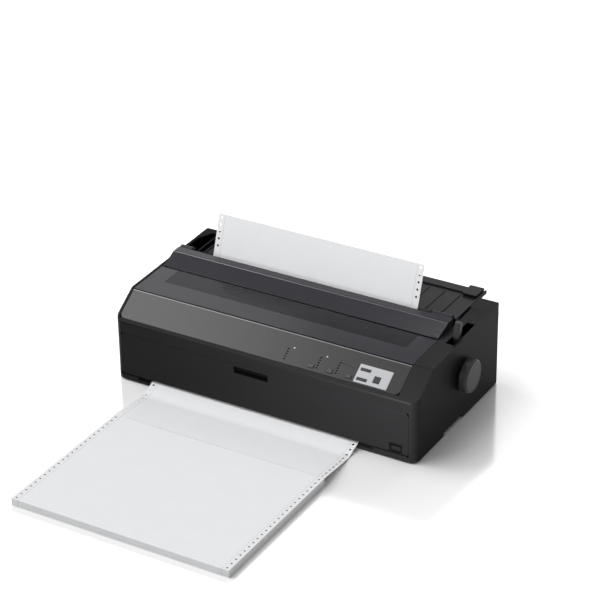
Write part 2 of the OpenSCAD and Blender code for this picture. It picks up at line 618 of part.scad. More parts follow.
// ---- steel frame ----
module frame_plate(x, out) {
    difference() {
        union() {
            along_x(x, x + frame_t) polygon([[frame_y.x, floor_z], [frame_y.x, shaft_z - 6],
                [frame_y.x + 26, shoulder_z], [shaft_y - 18, frame_top], [platen_y + 15, frame_top],
                [platen_y + 37, shoulder_z], [frame_y.y, shoulder_z], [frame_y.y, floor_z]]);
            for (y = [[frame_y.x + 10, frame_y.x + 54], [frame_y.y - 66, frame_y.y - 6]])
                block([out > 0 ? x : x - frame_foot, y.x, floor_z],
                    [out > 0 ? x + frame_t + frame_foot : x + frame_t, y.y, floor_z + frame_t]);
        }
        rod_x(platen_c, bushing_r, x - 1, x + frame_t + 1);
        rod_x([shaft_y, shaft_z], guide_shaft_r + fit, x - 1, x + frame_t + 1);
        rod_x(drive_at, tractor_shaft_r + fit, x - 1, x + frame_t + 1);
        rod_x(rod_at, tractor_rod_r + fit, x - 1, x + frame_t + 1);
        // window in the lower rear
        block([x - 1, frame_y.y - 56, 44], [x + frame_t + 1, frame_y.y - 18, shoulder_z - 16]);
        if (out > 0) {
            rod_x(reduction_c, stud_r + fit, x - 1, x + frame_t + 1);
            rod_x(transfer_c, stud_r + fit, x - 1, x + frame_t + 1);
            rod_x(pinion_c, 3, x - 1, x + frame_t + 1);
            rod_x(thick_axis, 2.5 + fit, x - 1, x + frame_t + 1);
        }
    }
}
shoulder_z = frame_top - 24;
frame_foot = 12;
bushing_r = 10;
stud_r = 3;
thick_axis = [shaft_y + 24, frame_top - 12];
sheet_t = 2;
beam_h = 54;
beam_w = 12;
beam_at = [frame_y.y - 16, 50];
module side_frame_left() color("#a9abaf") seat() frame_plate(frame_x0, -1);
module side_frame_right() color("#a9abaf") seat() frame_plate(frame_x1, 1);
module rear_beam() color("#a2a4a8") seat() along_x(span_x.x, span_x.y) translate(beam_at) difference() {
    square([beam_w, beam_h]);
    translate([sheet_t, sheet_t]) square([beam_w, beam_h - 2 * sheet_t]);
}
module front_rail() color("#a2a4a8") seat() along_x(span_x.x, span_x.y) {
    translate([front_rail_y.x, front_rail_z.x]) square([sheet_t, front_rail_z.y - front_rail_z.x]);
    translate([front_rail_y.x, front_rail_z.y - sheet_t]) square([front_rail_y.y - front_rail_y.x, sheet_t]);
}
module guide_shaft() color("#d4d6da") seat()
    rod_x([shaft_y, shaft_z], guide_shaft_r, frame_x0 - 0.5, frame_x1 + frame_t);
module platen_bushings() color("#e4e2da") seat() for (x = [frame_x0 - 3, frame_x1 - 1.5]) difference() {
    union() {
        rod_x(platen_c, bushing_r - 0.01, x, x + 6.2);
        rod_x(platen_c, bushing_r + 2, x < 0 ? x : x + frame_t + 1.5, x < 0 ? x + 3 : x + 5);
    }
    rod_x(platen_c, platen_shaft_r + fit, x - 1, x + 8);
}

// ---- platen and feed gears ----
roller_gap = 34;
roller_x = [span_x.x + roller_gap, span_x.y - roller_gap - frame_t];
module platen_roller() color("#1b1b1d") seat() difference() {
    rod_x(platen_c, platen_r, roller_x.x, roller_x.y);
    rod_x(platen_c, platen_shaft_r, roller_x.x - 1, roller_x.y + 1);
}
module platen_shaft() color("#c9cbd0") seat()
    rod_x(platen_c, platen_shaft_r, frame_x0 - 6, half_w + knob_gap + knob_t - 6);
module platen_gear() color("#e8e6df") seat() {
    gear(platen_c, platen_n, 0, platen_shaft_r, gear_x + 2.5, gear_t);
}
module knob() color("#505055") seat() difference() {
    union() {
        x0 = half_w + knob_gap;
        along_x(x0, x0 + 3) translate(platen_c) circle(knob_r - 8);
        translate([x0 + 2.5, platen_y, platen_z]) rotate([0, 90, 0]) rotate_extrude()
            polygon([[0, 0], [knob_r - 1, 0], [knob_r, 1.2], [knob_r, knob_t - 8], [knob_r - 1, knob_t - 5.2],
                [knob_r - 3, knob_t - 3.2], [knob_r - 5, knob_t - 2.7], [knob_r - 6.5, knob_t - 3.4],
                [0, knob_t - 2.5]]);
    }
    rod_x(platen_c, platen_shaft_r, half_w, half_w + knob_gap + knob_t - 6);
}
idle_x = gear_x + 2.5;
module reduction_gear() color("#dcdad2") seat() {
    gear(reduction_c, reduction_n, reduction_tooth, stud_r, idle_x, gear_t);
    rod_x(reduction_c, stud_r, frame_x1 - 2, idle_x + gear_t + 1);
}
module transfer_gear() color("#dcdad2") seat() {
    gear(transfer_c, transfer_n, transfer_tooth, stud_r, idle_x, gear_t);
    rod_x(transfer_c, stud_r, frame_x1 - 2, idle_x + gear_t + 1);
}
module tractor_gear() color("#e8e6df") seat()
    gear(drive_at, tractor_n, tractor_tooth, tractor_shaft_r, idle_x, gear_t);
module motor_pinion() color("#c4a35a") seat() {
    gear(pinion_c, pinion_n, pinion_tooth, 2, idle_x, gear_t);
    rod_x(pinion_c, 2, frame_x1 - 6, idle_x + gear_t);
}
feed_motor_r = 21;
module feed_motor() color("#77797e") seat() difference() {
    union() {
        rod_x(pinion_c, feed_motor_r, frame_x1 - 27, frame_x1 - 2);
        block([frame_x1 - 2, pinion_c.x - 24, pinion_c.y - 10], [frame_x1, pinion_c.x + 24, pinion_c.y + 10]);
    }
    rod_x(pinion_c, 2 + fit, frame_x1 - 7, frame_x1 + 1);
}
module tractor_shaft() color("#c9cbd0") seat()
    rod_x(drive_at, tractor_shaft_r, frame_x0 - 2, idle_x + gear_t + 1);
module tractor_rod() color("#c9cbd0") seat() rod_x(rod_at, tractor_rod_r, frame_x0 - 1, frame_x1 + frame_t + 1);

// ---- tractors: side is -1 on the left and 1 on the right ----
belt_gap = 2.6;
pin_top = web_t / 2 + 0.35;
pin_r = 1.6;
cover_pivot = [9.6, 3];
pivot_r = 1;
knuckle_r = 2.2;
knuckle_l = 24;
hatch_z = [0.7, 2.9];
module at_tractor(side) seat() translate([side < 0 ? hole_x.x : hole_x.y, 0, 0]) on_web() {
    if (side < 0) mirror([1, 0, 0]) children();
    else children();
}
// A rod across the tractor, and one along its cover's hinge
module cross_rod(v, r) translate([-tractor_w / 2 - 1, v, -tractor_drop]) rotate([0, 90, 0])
    cylinder(r = r, h = tractor_w + 2);
module hinge_rod(v, l, r) translate([cover_pivot.x, v, cover_pivot.y]) rotate([-90, 0, 0]) cylinder(r = r, h = l);
module tractor(side) at_tractor(side) difference() {
    union() {
        block([-tractor_w / 2, -tractor_l / 2, -tractor_drop - 8], [tractor_w / 2, tractor_l / 2, -belt_gap]);
        for (v = [-hole_pitch, 0, hole_pitch]) translate([0, v, -belt_gap - 0.5])
            cylinder(r = pin_r, h = belt_gap + 0.5 - pin_top);
        block([7.2, -tractor_l / 2, -belt_gap - 1], [tractor_w / 2, tractor_l / 2, -0.2]);
        for (v = [-knuckle_l / 2 - 4.4, knuckle_l / 2 + 0.4]) hinge_ear(v, 4);
        hinge_rod(-knuckle_l / 2 - 3, knuckle_l + 6, pivot_r);
    }
    cross_rod(drive_u, tractor_shaft_r + fit);
    cross_rod(rod_u, tractor_rod_r + fit);
}
module hinge_ear(v, t) {
    hinge_rod(v, t, knuckle_r);
    block([cover_pivot.x - knuckle_r, v, -2], [cover_pivot.x + knuckle_r, v + t, cover_pivot.y]);
}
module tractor_cover(side) at_tractor(side) difference() {
    union() {
        block([-tractor_w / 2, -tractor_l / 2 + 2, hatch_z.x], [7, tractor_l / 2 - 2, hatch_z.y]);
        block([6, -knuckle_l / 2, hatch_z.x + 0.1], [cover_pivot.x, knuckle_l / 2, hatch_z.y]);
        hinge_rod(-knuckle_l / 2, knuckle_l, knuckle_r);
    }
    hinge_rod(-knuckle_l / 2 - 1, knuckle_l + 2, pivot_r + fit);
    // slot over the pins
    block([-pin_r - 1, -hole_pitch - 2.8, 0], [pin_r + 1, hole_pitch + 2.8, 5]);
}
module tractor_left() color("#2c2c30") tractor(-1);
module tractor_right() color("#2c2c30") tractor(1);
module tractor_cover_left() color("#35353a") tractor_cover(-1);
module tractor_cover_right() color("#35353a") tractor_cover(1);

// ---- carriage, print head and drive: the carriage stands at the left end of its travel ----
foot_w = 40;
foot_y = [front_rail_y.x + 8, shaft_y - 19];
foot_z = [front_rail_z.y + 0.3, front_rail_z.y + 4];
cable_y = [shaft_y - 58, shaft_y - 41];
cable_t = 0.6;
module carriage() color("#232326") seat() translate([carriage_x, 0, 0]) difference() {
    union() {
        block([-carriage_w / 2, shaft_y - carriage_d / 2, shaft_z - 9],
            [carriage_w / 2, shaft_y + carriage_d / 2, head_z.x]);
        // foot on the front rail, and the post that holds the cable
        block([-foot_w / 2, foot_y.x, foot_z.x], [foot_w / 2, foot_y.y, foot_z.y]);
        block([-foot_w / 2, foot_y.y - 5, head_z.x - 4], [foot_w / 2, foot_y.y, foot_z.y]);
        block([-16, foot_y.x, foot_z.y - 1], [16, cable_y.y + 1, head_z.y]);
        // jaws that grip the front run of the belt
        for (y = [belt_y - pulley_r - belt_t - 2.3, belt_y - pulley_r + 0.3])
            block([-9, y, belt_z.x + 0.5], [9, y + 2, shaft_z - 8]);
    }
    rod_x([shaft_y, shaft_z], guide_shaft_r + fit, -carriage_w, carriage_w);
}
head_w = 48;
fins = 7;
fin_t = 3;
fin_top = head_z.y + 24;
nose_w = 16;
nose_y = [tip_y - 0.3, shaft_y + 17];
module print_head() color("#3d3d42") seat() translate([carriage_x, 0, 0]) {
    block([-head_w / 2, shaft_y - 18, head_z.x], [head_w / 2, shaft_y + 18, head_z.y]);
    for (i = [0:fins - 1]) translate([-head_w / 2 + i * (head_w - fin_t) / (fins - 1), 0, 0])
        block([0, shaft_y - 16, head_z.y - 2], [fin_t, shaft_y + 14, fin_top]);
    along_x(-nose_w / 2, nose_w / 2) polygon([[nose_y.y, head_z.x + 1], [nose_y.x, platen_z - 4],
        [nose_y.x, platen_z + 4], [nose_y.y, head_z.y]]);
}
module head_cable() color("#e9e4d2") seat() {
    block([carriage_x + 4, cable_y.x, head_z.y], [frame_x1 - 3, cable_y.y, head_z.y + cable_t]);
    block([frame_x1 - 3, cable_y.x, head_z.y - 4], [frame_x1, cable_y.y, head_z.y + 4]);
}
motor_r = 18;
motor_z = [floor_z + 2, floor_z + 36];
motor_plate_t = 2.5;
pulley_pin_r = 2.5;
bracket_z = belt_z.x - 4;
bracket_t = 2.2;
module carriage_motor() color("#77797e") seat() difference() {
    union() {
        translate([pulley_x.x, belt_y, motor_z.x]) cylinder(r = motor_r, h = motor_z.y - motor_z.x);
        block([span_x.x, belt_y - motor_r + 1, motor_z.y - 0.5],
            [pulley_x.x + motor_r + 2, belt_y + motor_r - 1, motor_z.y + motor_plate_t - 0.5]);
    }
    translate([pulley_x.x, belt_y, motor_z.y - 16]) cylinder(r = pulley_pin_r + fit, h = 30);
}
module pulley(x, low) translate([x, belt_y, 0]) {
    translate([0, 0, belt_z.x]) cylinder(r = pulley_r, h = belt_z.y - belt_z.x);
    for (z = [belt_z.x - 1.4, belt_z.y + 0.4]) translate([0, 0, z]) cylinder(r = pulley_r + 1.6, h = 1);
    translate([0, 0, belt_z.x - 1]) cylinder(r = pulley_r - 1, h = belt_z.y - belt_z.x + 2);
    translate([0, 0, low]) cylinder(r = pulley_pin_r, h = belt_z.y - low + 2);
}
module motor_pulley() color("#c4a35a") seat() pulley(pulley_x.x, motor_z.y - 15);
module idler_pulley() color("#dcdad2") seat() pulley(pulley_x.y, bracket_z - bracket_t);
module idler_bracket() color("#a2a4a8") seat() difference() {
    union() {
        block([pulley_x.y - 12, belt_y - 10, bracket_z - bracket_t], [frame_x1, belt_y + 10, bracket_z]);
        block([frame_x1 - sheet_t, belt_y - 10, bracket_z - 16], [frame_x1, belt_y + 10, bracket_z]);
    }
    translate([pulley_x.y, belt_y, bracket_z - 5]) cylinder(r = pulley_pin_r + fit, h = 10);
}
module timing_belt() color("#161618") seat() translate([0, belt_y, belt_z.x]) linear_extrude(belt_z.y - belt_z.x)
    difference() {
        belt_loop(pulley_r + belt_t);
        belt_loop(pulley_r + 0.05);
    }
module belt_loop(r) {
    translate([pulley_x.x, -r]) square([pulley_x.y - pulley_x.x, 2 * r]);
    for (x = pulley_x) translate([x, 0]) circle(r);
}

// ---- ribbon ----
box_y = [shaft_y - 58, shaft_y - 26];
box_z = [shaft_z + 40, shaft_z + 62];
wing_z = [box_z.x + 8, box_z.x + 14];
ribbon_knob_at = [span_x.x + 110, (box_y.x + box_y.y) / 2];
ribbon_knob_r = 11;
ribbon_pin_r = 3;
module ribbon_cartridge() color("#1d1d20") seat() difference() {
    union() {
        block([span_x.x + 4, box_y.x, box_z.x], [span_x.y - 6, box_y.y, box_z.y]);
        // wings that rest on the side frames
        block([span_x.x + 0.3, box_y.x + 10, wing_z.x], [span_x.y - 0.3, box_y.y - 6, wing_z.y]);
        // arms over the carriage, bent down to the platen
        for (a = arm_x) {
            block([a.x, box_y.y - 2, box_z.x], [a.y, tip_y, box_z.y - 4]);
            block([a.x, tip_y - 10, ribbon_z.x - 1], [a.y, tip_y, box_z.x + 1]);
        }
    }
    translate([ribbon_knob_at.x, ribbon_knob_at.y, box_z.x + 6]) cylinder(r = ribbon_pin_r + fit, h = 20);
    for (a = arm_x) block([a.x - 1, box_y.y - 2, box_z.x - 3], [a.y + 1, box_y.y + 40, box_z.x + 6]);
}
module ribbon_knob() color("#2f2f34") seat() translate([ribbon_knob_at.x, ribbon_knob_at.y, box_z.y]) {
    translate([0, 0, -15]) cylinder(r = ribbon_pin_r, h = 17);
    translate([0, 0, 0.4]) cylinder(r = ribbon_knob_r, h = 9);
    for (a = [0:30:330]) rotate(a) translate([ribbon_knob_r, 0, 1]) cylinder(r = 1.2, h = 8);
}
module ribbon() color("#0b0b0c") seat()
    block([arm_x[0].y - 6, tip_y, ribbon_z.x], [arm_x[1].x + 6, tip_y + ribbon_t, ribbon_z.y]);

// ---- levers ----
module paper_release_lever() color("#55555a") seat() difference() {
    union() {
        rod_x(lever_axis, 8, lever_x0, lever_x0 + lever_t);
        along_x(lever_x0, lever_x0 + lever_t) polygon([lever_axis + [-6, 0], lever_axis + [6, 0],
            lever_axis + [-4, 36], [lever_axis.x + 1, lever_top - 5], [lever_axis.x - 0.5, lever_top - 1],
            [lever_axis.x - 3, lever_top], [lever_axis.x - 7, lever_top - 2], lever_axis + [-14, 36]]);
    }
    rod_x(lever_axis, lever_pin_r + fit, lever_x0 - 1, lever_x0 + lever_t + 1);
}
module thickness_lever() color("#3f6f8f") seat() {
    rod_x(thick_axis, 2.5, frame_x1 - 4, frame_x1 + frame_t + 1);
    rod_x(thick_axis, 7, frame_x1 - 4.5, frame_x1 - 0.5);
    along_x(frame_x1 - 4.5, frame_x1 - 1.5) polygon([thick_axis + [-6, -3], thick_axis + [4, -6],
        thick_axis + [-20, 20], thick_axis + [-26, 18]]);
}

// ---- electronics ----
module board(xs) block([xs.x, board_y.x, board_z], [xs.y, board_y.y, board_z + board_t]);
module main_board() color("#1f5b3a") seat() {
    board(main_board_x);
    // the parts on the board start inside it, so that they are one solid with it
    top = board_z + board_t - 0.6;
    x0 = main_board_x.x;
    x1 = main_board_x.y;
    y0 = board_y.x;
    for (x = [x0 + 28:34:x1 - 26]) block([x, y0 + 18, top], [x + 22, y0 + 40, top + 3.6]);
    for (x = [x0 + 23:40:x1 - 10]) translate([x, y0 + 84, top]) cylinder(r = 6, h = 16);
    block([x1 - 70, y0 + 54, top], [x1 - 10, y0 + 58, top + 26]);
    for (x = [x1 - 150, x1 - 100]) block([x, y0 + 2, top], [x + 40, y0 + 8, top + 9]);
}
module power_board() color("#8a6a35") seat() {
    board(power_board_x);
    top = board_z + board_t - 0.6;
    x0 = power_board_x.x;
    y0 = board_y.x;
    block([x0 + 18, y0 + 10, top], [x0 + 58, y0 + 46, top + 32]);
    for (y = [y0 + 18, y0 + 44]) translate([power_board_x.y - 36, y, top]) cylinder(r = 12, h = 28);
    block([x0 + 6, y0 + 60, top], [x0 + 76, y0 + 63, top + 30]);
    block([x0 + 12, y0 + 76, top], [x0 + 46, y0 + 98, top + 18]);
}
module ac_inlet() color("#141416") seat() difference() {
    union() {
        block([inlet_x, body_d - 22, inlet_z.x], [inlet_x + inlet_w, body_d, inlet_z.y]);
        block([inlet_x, body_d - 22, board_z + board_t], [inlet_x + inlet_w, body_d - 12, inlet_z.x + 2]);
    }
    block([inlet_x + 2.5, body_d - 16, inlet_z.x + 3], [inlet_x + inlet_w - 2.5, body_d + 1, inlet_z.y - 3]);
}
module interface_ports() color("#b4b6ba") seat() for (p = ports) difference() {
    block([p.x, body_d - 18, port_z], [p.y, body_d - 0.5, port_z + p.z]);
    block([p.x + 2, body_d - 12, port_z + 2], [p.y - 2, body_d + 1, port_z + p.z - 2]);
}

// ---- paper ----
stretch_holes = 6;
module holes_on(a, b, n, from) for (x = hole_x, i = [0:n - 1]) {
    u = unit(b - a);
    p = a + u * (from + i * hole_pitch);
    translate([x, p.x, p.y]) rotate([atan2(u.y, u.x), 0, 0]) translate([0, 0, -2]) cylinder(r = hole_r, h = 4);
}
module paper_web() color("#f2f2f0") seat() difference() {
    path = rounded(web_points, web_radii);
    along_x(paper_x0, paper_x1) polygon(concat(shifted(path, web_t / 2), reversed(shifted(path, -web_t / 2))));
    holes_on(sheet_end, exit_at, stretch_holes - 1, hole_pitch / 2);
    holes_on(web_start, dip_at, 6, hole_pitch / 2);
    holes_on(tractor_mid, tractor_mid + (tractor_to - tractor_from), 2, -hole_pitch);
}
module fanfold_stack() color("#f4f4f2") seat() difference() {
    block([paper_x0 + stack_shift, -stack_gap - form_l, 0], [paper_x1 + stack_shift, -stack_gap, stack_h]);
    for (x = hole_x, y = [-stack_gap - hole_pitch / 2:-hole_pitch:-stack_gap - form_l + 1])
        translate([x + stack_shift, y, -1]) cylinder(r = hole_r, h = stack_h + 2);
}

lower_case();
upper_case();
control_panel();
label_plate();
status_lights();
front_cover();
printer_cover();
paper_guide();
edge_guide_left();
edge_guide_right();
rubber_feet();
case_screws();
button_menu();
button_font();
button_tear_off();
button_load();
button_feed();
button_pause();
switch_housing();
power_switch();
paper_release_lever();
thickness_lever();
knob();
side_frame_left();
side_frame_right();
rear_beam();
front_rail();
guide_shaft();
platen_bushings();
platen_roller();
platen_shaft();
platen_gear();
reduction_gear();
transfer_gear();
motor_pinion();
feed_motor();
tractor_shaft();
tractor_gear();
tractor_rod();
tractor_left();
tractor_right();
tractor_cover_left();
tractor_cover_right();
carriage();
print_head();
head_cable();
carriage_motor();
motor_pulley();
idler_pulley();
idler_bracket();
timing_belt();
ribbon_cartridge();
ribbon();
ribbon_knob();
main_board();
power_board();
ac_inlet();
interface_ports();
paper_web();
fanfold_stack();
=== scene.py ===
"""Looks of a wide-carriage dot matrix printer with a loaded web of continuous paper.

Blender's lengths are metres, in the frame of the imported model. Sizes and places named here
are millimetres from the middle of the case's front edge: x to the right, y to the rear, z up.
MM or at() turns them into metres. The lights' places are metres.
"""

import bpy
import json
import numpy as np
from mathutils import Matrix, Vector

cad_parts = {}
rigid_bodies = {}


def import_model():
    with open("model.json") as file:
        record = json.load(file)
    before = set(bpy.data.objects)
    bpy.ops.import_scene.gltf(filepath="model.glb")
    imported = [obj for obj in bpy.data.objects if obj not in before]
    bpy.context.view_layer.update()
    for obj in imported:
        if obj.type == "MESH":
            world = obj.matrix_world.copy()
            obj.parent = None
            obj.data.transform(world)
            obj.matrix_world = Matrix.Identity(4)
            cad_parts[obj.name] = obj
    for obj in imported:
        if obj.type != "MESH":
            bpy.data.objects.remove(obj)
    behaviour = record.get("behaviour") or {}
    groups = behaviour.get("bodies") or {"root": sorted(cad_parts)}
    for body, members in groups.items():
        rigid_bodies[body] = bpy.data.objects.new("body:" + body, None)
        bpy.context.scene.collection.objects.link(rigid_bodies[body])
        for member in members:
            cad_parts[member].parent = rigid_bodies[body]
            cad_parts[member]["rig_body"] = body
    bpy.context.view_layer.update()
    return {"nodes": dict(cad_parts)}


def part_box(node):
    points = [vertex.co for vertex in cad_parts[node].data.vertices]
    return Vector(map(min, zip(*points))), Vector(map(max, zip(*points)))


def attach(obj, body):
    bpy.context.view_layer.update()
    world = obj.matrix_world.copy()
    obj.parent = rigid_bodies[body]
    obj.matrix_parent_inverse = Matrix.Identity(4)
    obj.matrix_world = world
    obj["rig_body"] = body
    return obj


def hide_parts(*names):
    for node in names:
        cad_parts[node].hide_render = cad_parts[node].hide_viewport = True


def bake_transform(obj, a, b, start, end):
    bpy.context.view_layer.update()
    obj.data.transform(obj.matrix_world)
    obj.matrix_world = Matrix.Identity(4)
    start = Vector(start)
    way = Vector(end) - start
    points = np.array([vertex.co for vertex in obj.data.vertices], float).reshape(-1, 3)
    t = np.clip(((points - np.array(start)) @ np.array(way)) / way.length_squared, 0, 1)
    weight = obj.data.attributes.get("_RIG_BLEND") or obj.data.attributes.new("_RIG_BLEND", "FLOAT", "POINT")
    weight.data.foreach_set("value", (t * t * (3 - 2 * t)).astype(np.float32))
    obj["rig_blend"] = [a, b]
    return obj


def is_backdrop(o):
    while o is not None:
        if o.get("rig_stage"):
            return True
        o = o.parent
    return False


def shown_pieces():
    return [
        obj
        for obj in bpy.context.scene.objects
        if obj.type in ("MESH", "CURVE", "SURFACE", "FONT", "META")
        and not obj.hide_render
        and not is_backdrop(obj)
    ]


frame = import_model()

import json
import math
from random import Random

import bmesh
import bpy
from mathutils import Matrix, Vector

MM = 0.001
scene = bpy.context.scene

# ---- places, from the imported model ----
case_low, case_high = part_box("lower_case")
case_mid = (case_low.x + case_high.x) / 2
case_front = case_low.y


def at(x, y, z):
    """A point given in millimetres from the middle of the case's front edge."""
    return Vector((case_mid + x * MM, case_front + y * MM, z * MM))


def body_of(node):
    return frame["nodes"][node]["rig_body"]


def angles(first, last, steps):
    """Angles from first to last in equal steps, with both ends, in radians."""
    return [first + (last - first) * i / steps for i in range(steps + 1)]


def clamped(value):
    """The value kept between 0 and 1."""
    return max(0.0, min(1.0, value))


# ---- camera ----
CAMERA_AT = (1736.1, -2801.9, 2023.2)
CAMERA_YAW = -30.606
CAMERA_PITCH = 28.555
CAMERA_ROLL = -0.789
CAMERA_LENS = 137.42
CAMERA_SENSOR = 36
CAMERA_REACH = 50  # metres


def add_camera():
    yaw, pitch, roll = (math.radians(a) for a in (CAMERA_YAW, CAMERA_PITCH, CAMERA_ROLL))
    forward = Vector((math.sin(yaw) * math.cos(pitch), math.cos(yaw) * math.cos(pitch),
                      -math.sin(pitch)))
    level = Vector((math.cos(yaw), -math.sin(yaw), 0))
    upward = level.cross(forward)
    right = level * math.cos(roll) + upward * math.sin(roll)
    up = upward * math.cos(roll) - level * math.sin(roll)
    data = bpy.data.cameras.new("camera")
    data.lens = CAMERA_LENS
    data.sensor_width = CAMERA_SENSOR
    data.clip_end = CAMERA_REACH
    camera = bpy.data.objects.new("camera", data)
    scene.collection.objects.link(camera)
    turn = Matrix((right, up, -forward)).transposed().to_4x4()
    camera.matrix_world = Matrix.Translation(at(*CAMERA_AT)) @ turn
    scene.camera = camera


add_camera()


# ---- materials ----
COAT_ROUGH = 0.12        # roughness of a clear coat
MID_GREY = (0.3, 0.7)    # the part of a noise's range that is spread over the roughness
CLOUD = (14, 4)          # scale and detail of the faint clouds in a moulding
CLOUD_TONES = (0.93, 1.07)
GRAIN_DETAIL = 2
GRAIN_GLOSS = (-0.05, 0.06)
GRAIN_DEPTH = 0.0003     # metres
STREAKS = (1.5, 4, 0.5)  # scale, detail and roughness of the noise in brushed metal
BRUSHED = (8, 900, 900)  # how much finer it is along the brushing, and across it
STREAK_TONES = (0.88, 1.1)
STREAK_GLOSS = (-0.07, 0.1)
STREAK_DEPTH = (0.05, 0.0002)  # strength, and depth in metres
MIX_COLOURS = (6, 7)     # the colour sockets of a Mix node
MIX_RESULT = 2           # its colour output


def new_material(name):
    material = bpy.data.materials.new(name)
    material.use_nodes = True
    tree = material.node_tree
    return material, tree, tree.nodes["Principled BSDF"]


def link_noise(tree, scale, detail, rough=0.55, stretch=None):
    """Noise in the piece's own space; stretch scales that space along each axis first."""
    place = tree.nodes.new("ShaderNodeTexCoord").outputs["Object"]
    if stretch:
        mapping = tree.nodes.new("ShaderNodeMapping")
        mapping.inputs["Scale"].default_value = stretch
        tree.links.new(place, mapping.inputs["Vector"])
        place = mapping.outputs["Vector"]
    noise = tree.nodes.new("ShaderNodeTexNoise")
    noise.inputs["Scale"].default_value = scale
    noise.inputs["Detail"].default_value = detail
    noise.inputs["Roughness"].default_value = rough
    tree.links.new(place, noise.inputs["Vector"])
    return noise.outputs["Fac"]


def link_gloss(tree, shader, noise, rough, spread):
    """A roughness that varies with the noise by the two ends of spread."""
    ramp = tree.nodes.new("ShaderNodeMapRange")
    numbers = (*MID_GREY, rough + spread[0], rough + spread[1])
    for socket, number in zip(("From Min", "From Max", "To Min", "To Max"), numbers):
        ramp.inputs[socket].default_value = number
    tree.links.new(noise, ramp.inputs["Value"])
    tree.links.new(ramp.outputs["Result"], shader.inputs["Roughness"])


def link_mix(tree, factor, first, second):
    """A colour between first and second, each of them a tuple or a socket."""
    mix = tree.nodes.new("ShaderNodeMix")
    mix.data_type = "RGBA"
    for i, colour in zip(MIX_COLOURS, (first, second)):
        if isinstance(colour, tuple):
            mix.inputs[i].default_value = (*colour, 1)
        else:
            tree.links.new(colour, mix.inputs[i])
    tree.links.new(factor, mix.inputs["Factor"])
    return mix.outputs[MIX_RESULT]


def link_math(tree, operation, value, number=0.0, spread=0.5):
    """The result of a Math node; spread is how near a comparison has to be."""
    node = tree.nodes.new("ShaderNodeMath")
    node.operation = operation
    tree.links.new(value, node.inputs[0])
    node.inputs[1].default_value = number
    node.inputs[2].default_value = spread
    return node.outputs[0]


def link_bump(tree, shader, height, strength, distance):
    bump = tree.nodes.new("ShaderNodeBump")
    bump.inputs["Strength"].default_value = strength
    bump.inputs["Distance"].default_value = distance
    tree.links.new(height, bump.inputs["Height"])
    tree.links.new(bump.outputs["Normal"], shader.inputs["Normal"])


def link_tone(tree, shader, noise, colour, tones):
    """A base colour that varies with the noise between two tones of the colour."""
    dark, light = (tuple(min(1, c * tone) for c in colour) for tone in tones)
    tree.links.new(link_mix(tree, noise, dark, light), shader.inputs["Base Color"])


def moulded(name, colour, rough, grain, depth, specular, coat=0.0):
    """Moulded plastic: fine spark-eroded grain, faint cloudy variation of colour and gloss."""
    material, tree, shader = new_material(name)
    link_tone(tree, shader, link_noise(tree, *CLOUD), colour, CLOUD_TONES)
    fine = link_noise(tree, grain, GRAIN_DETAIL)
    link_gloss(tree, shader, fine, rough, GRAIN_GLOSS)
    link_bump(tree, shader, fine, depth, GRAIN_DEPTH)
    shader.inputs["Specular IOR Level"].default_value = specular
    shader.inputs["Coat Weight"].default_value = coat
    shader.inputs["Coat Roughness"].default_value = COAT_ROUGH
    return material


def metal(name, colour, rough):
    """Bare metal, brushed along x."""
    material, tree, shader = new_material(name)
    streaks = link_noise(tree, *STREAKS, BRUSHED)
    link_tone(tree, shader, streaks, colour, STREAK_TONES)
    link_gloss(tree, shader, streaks, rough, STREAK_GLOSS)
    link_bump(tree, shader, streaks, *STREAK_DEPTH)
    shader.inputs["Metallic"].default_value = 1
    return material


PAPER_W = 406.4
TEAR_OFF = 12.7          # width of the strip with the sprocket holes, up to its row of cuts
CUT_HALF = 0.28          # half the width of that row
CUT_TONE = (0.46, 0.46, 0.48)
PAPER_TONES = ((0.71, 0.715, 0.725), (0.745, 0.75, 0.76))
PAPER_CLOUD = (40, 3)
FIBRE = (900, 5, 0.7)    # scale, detail and roughness
FIBRE_DEPTH = (0.12, 0.00008)
PAPER_ROUGH = 0.85
PAPER_SPECULAR = 0.2


def paper_material():
    """Uncoated paper: fibres, and a row of fine cuts beside each sprocket strip."""
    material, tree, shader = new_material("paper")
    fibre = link_noise(tree, *FIBRE)
    base = link_mix(tree, link_noise(tree, *PAPER_CLOUD), *PAPER_TONES)
    across = tree.nodes.new("ShaderNodeAttribute")
    across.attribute_name = "across"
    from_middle = link_math(tree, "SUBTRACT", across.outputs["Fac"], PAPER_W / 2)
    from_middle = link_math(tree, "ABSOLUTE", from_middle)
    on_cuts = link_math(tree, "COMPARE", from_middle, PAPER_W / 2 - TEAR_OFF, CUT_HALF)
    tree.links.new(link_mix(tree, on_cuts, base, CUT_TONE), shader.inputs["Base Color"])
    link_bump(tree, shader, fibre, *FIBRE_DEPTH)
    shader.inputs["Roughness"].default_value = PAPER_ROUGH
    shader.inputs["Specular IOR Level"].default_value = PAPER_SPECULAR
    return material


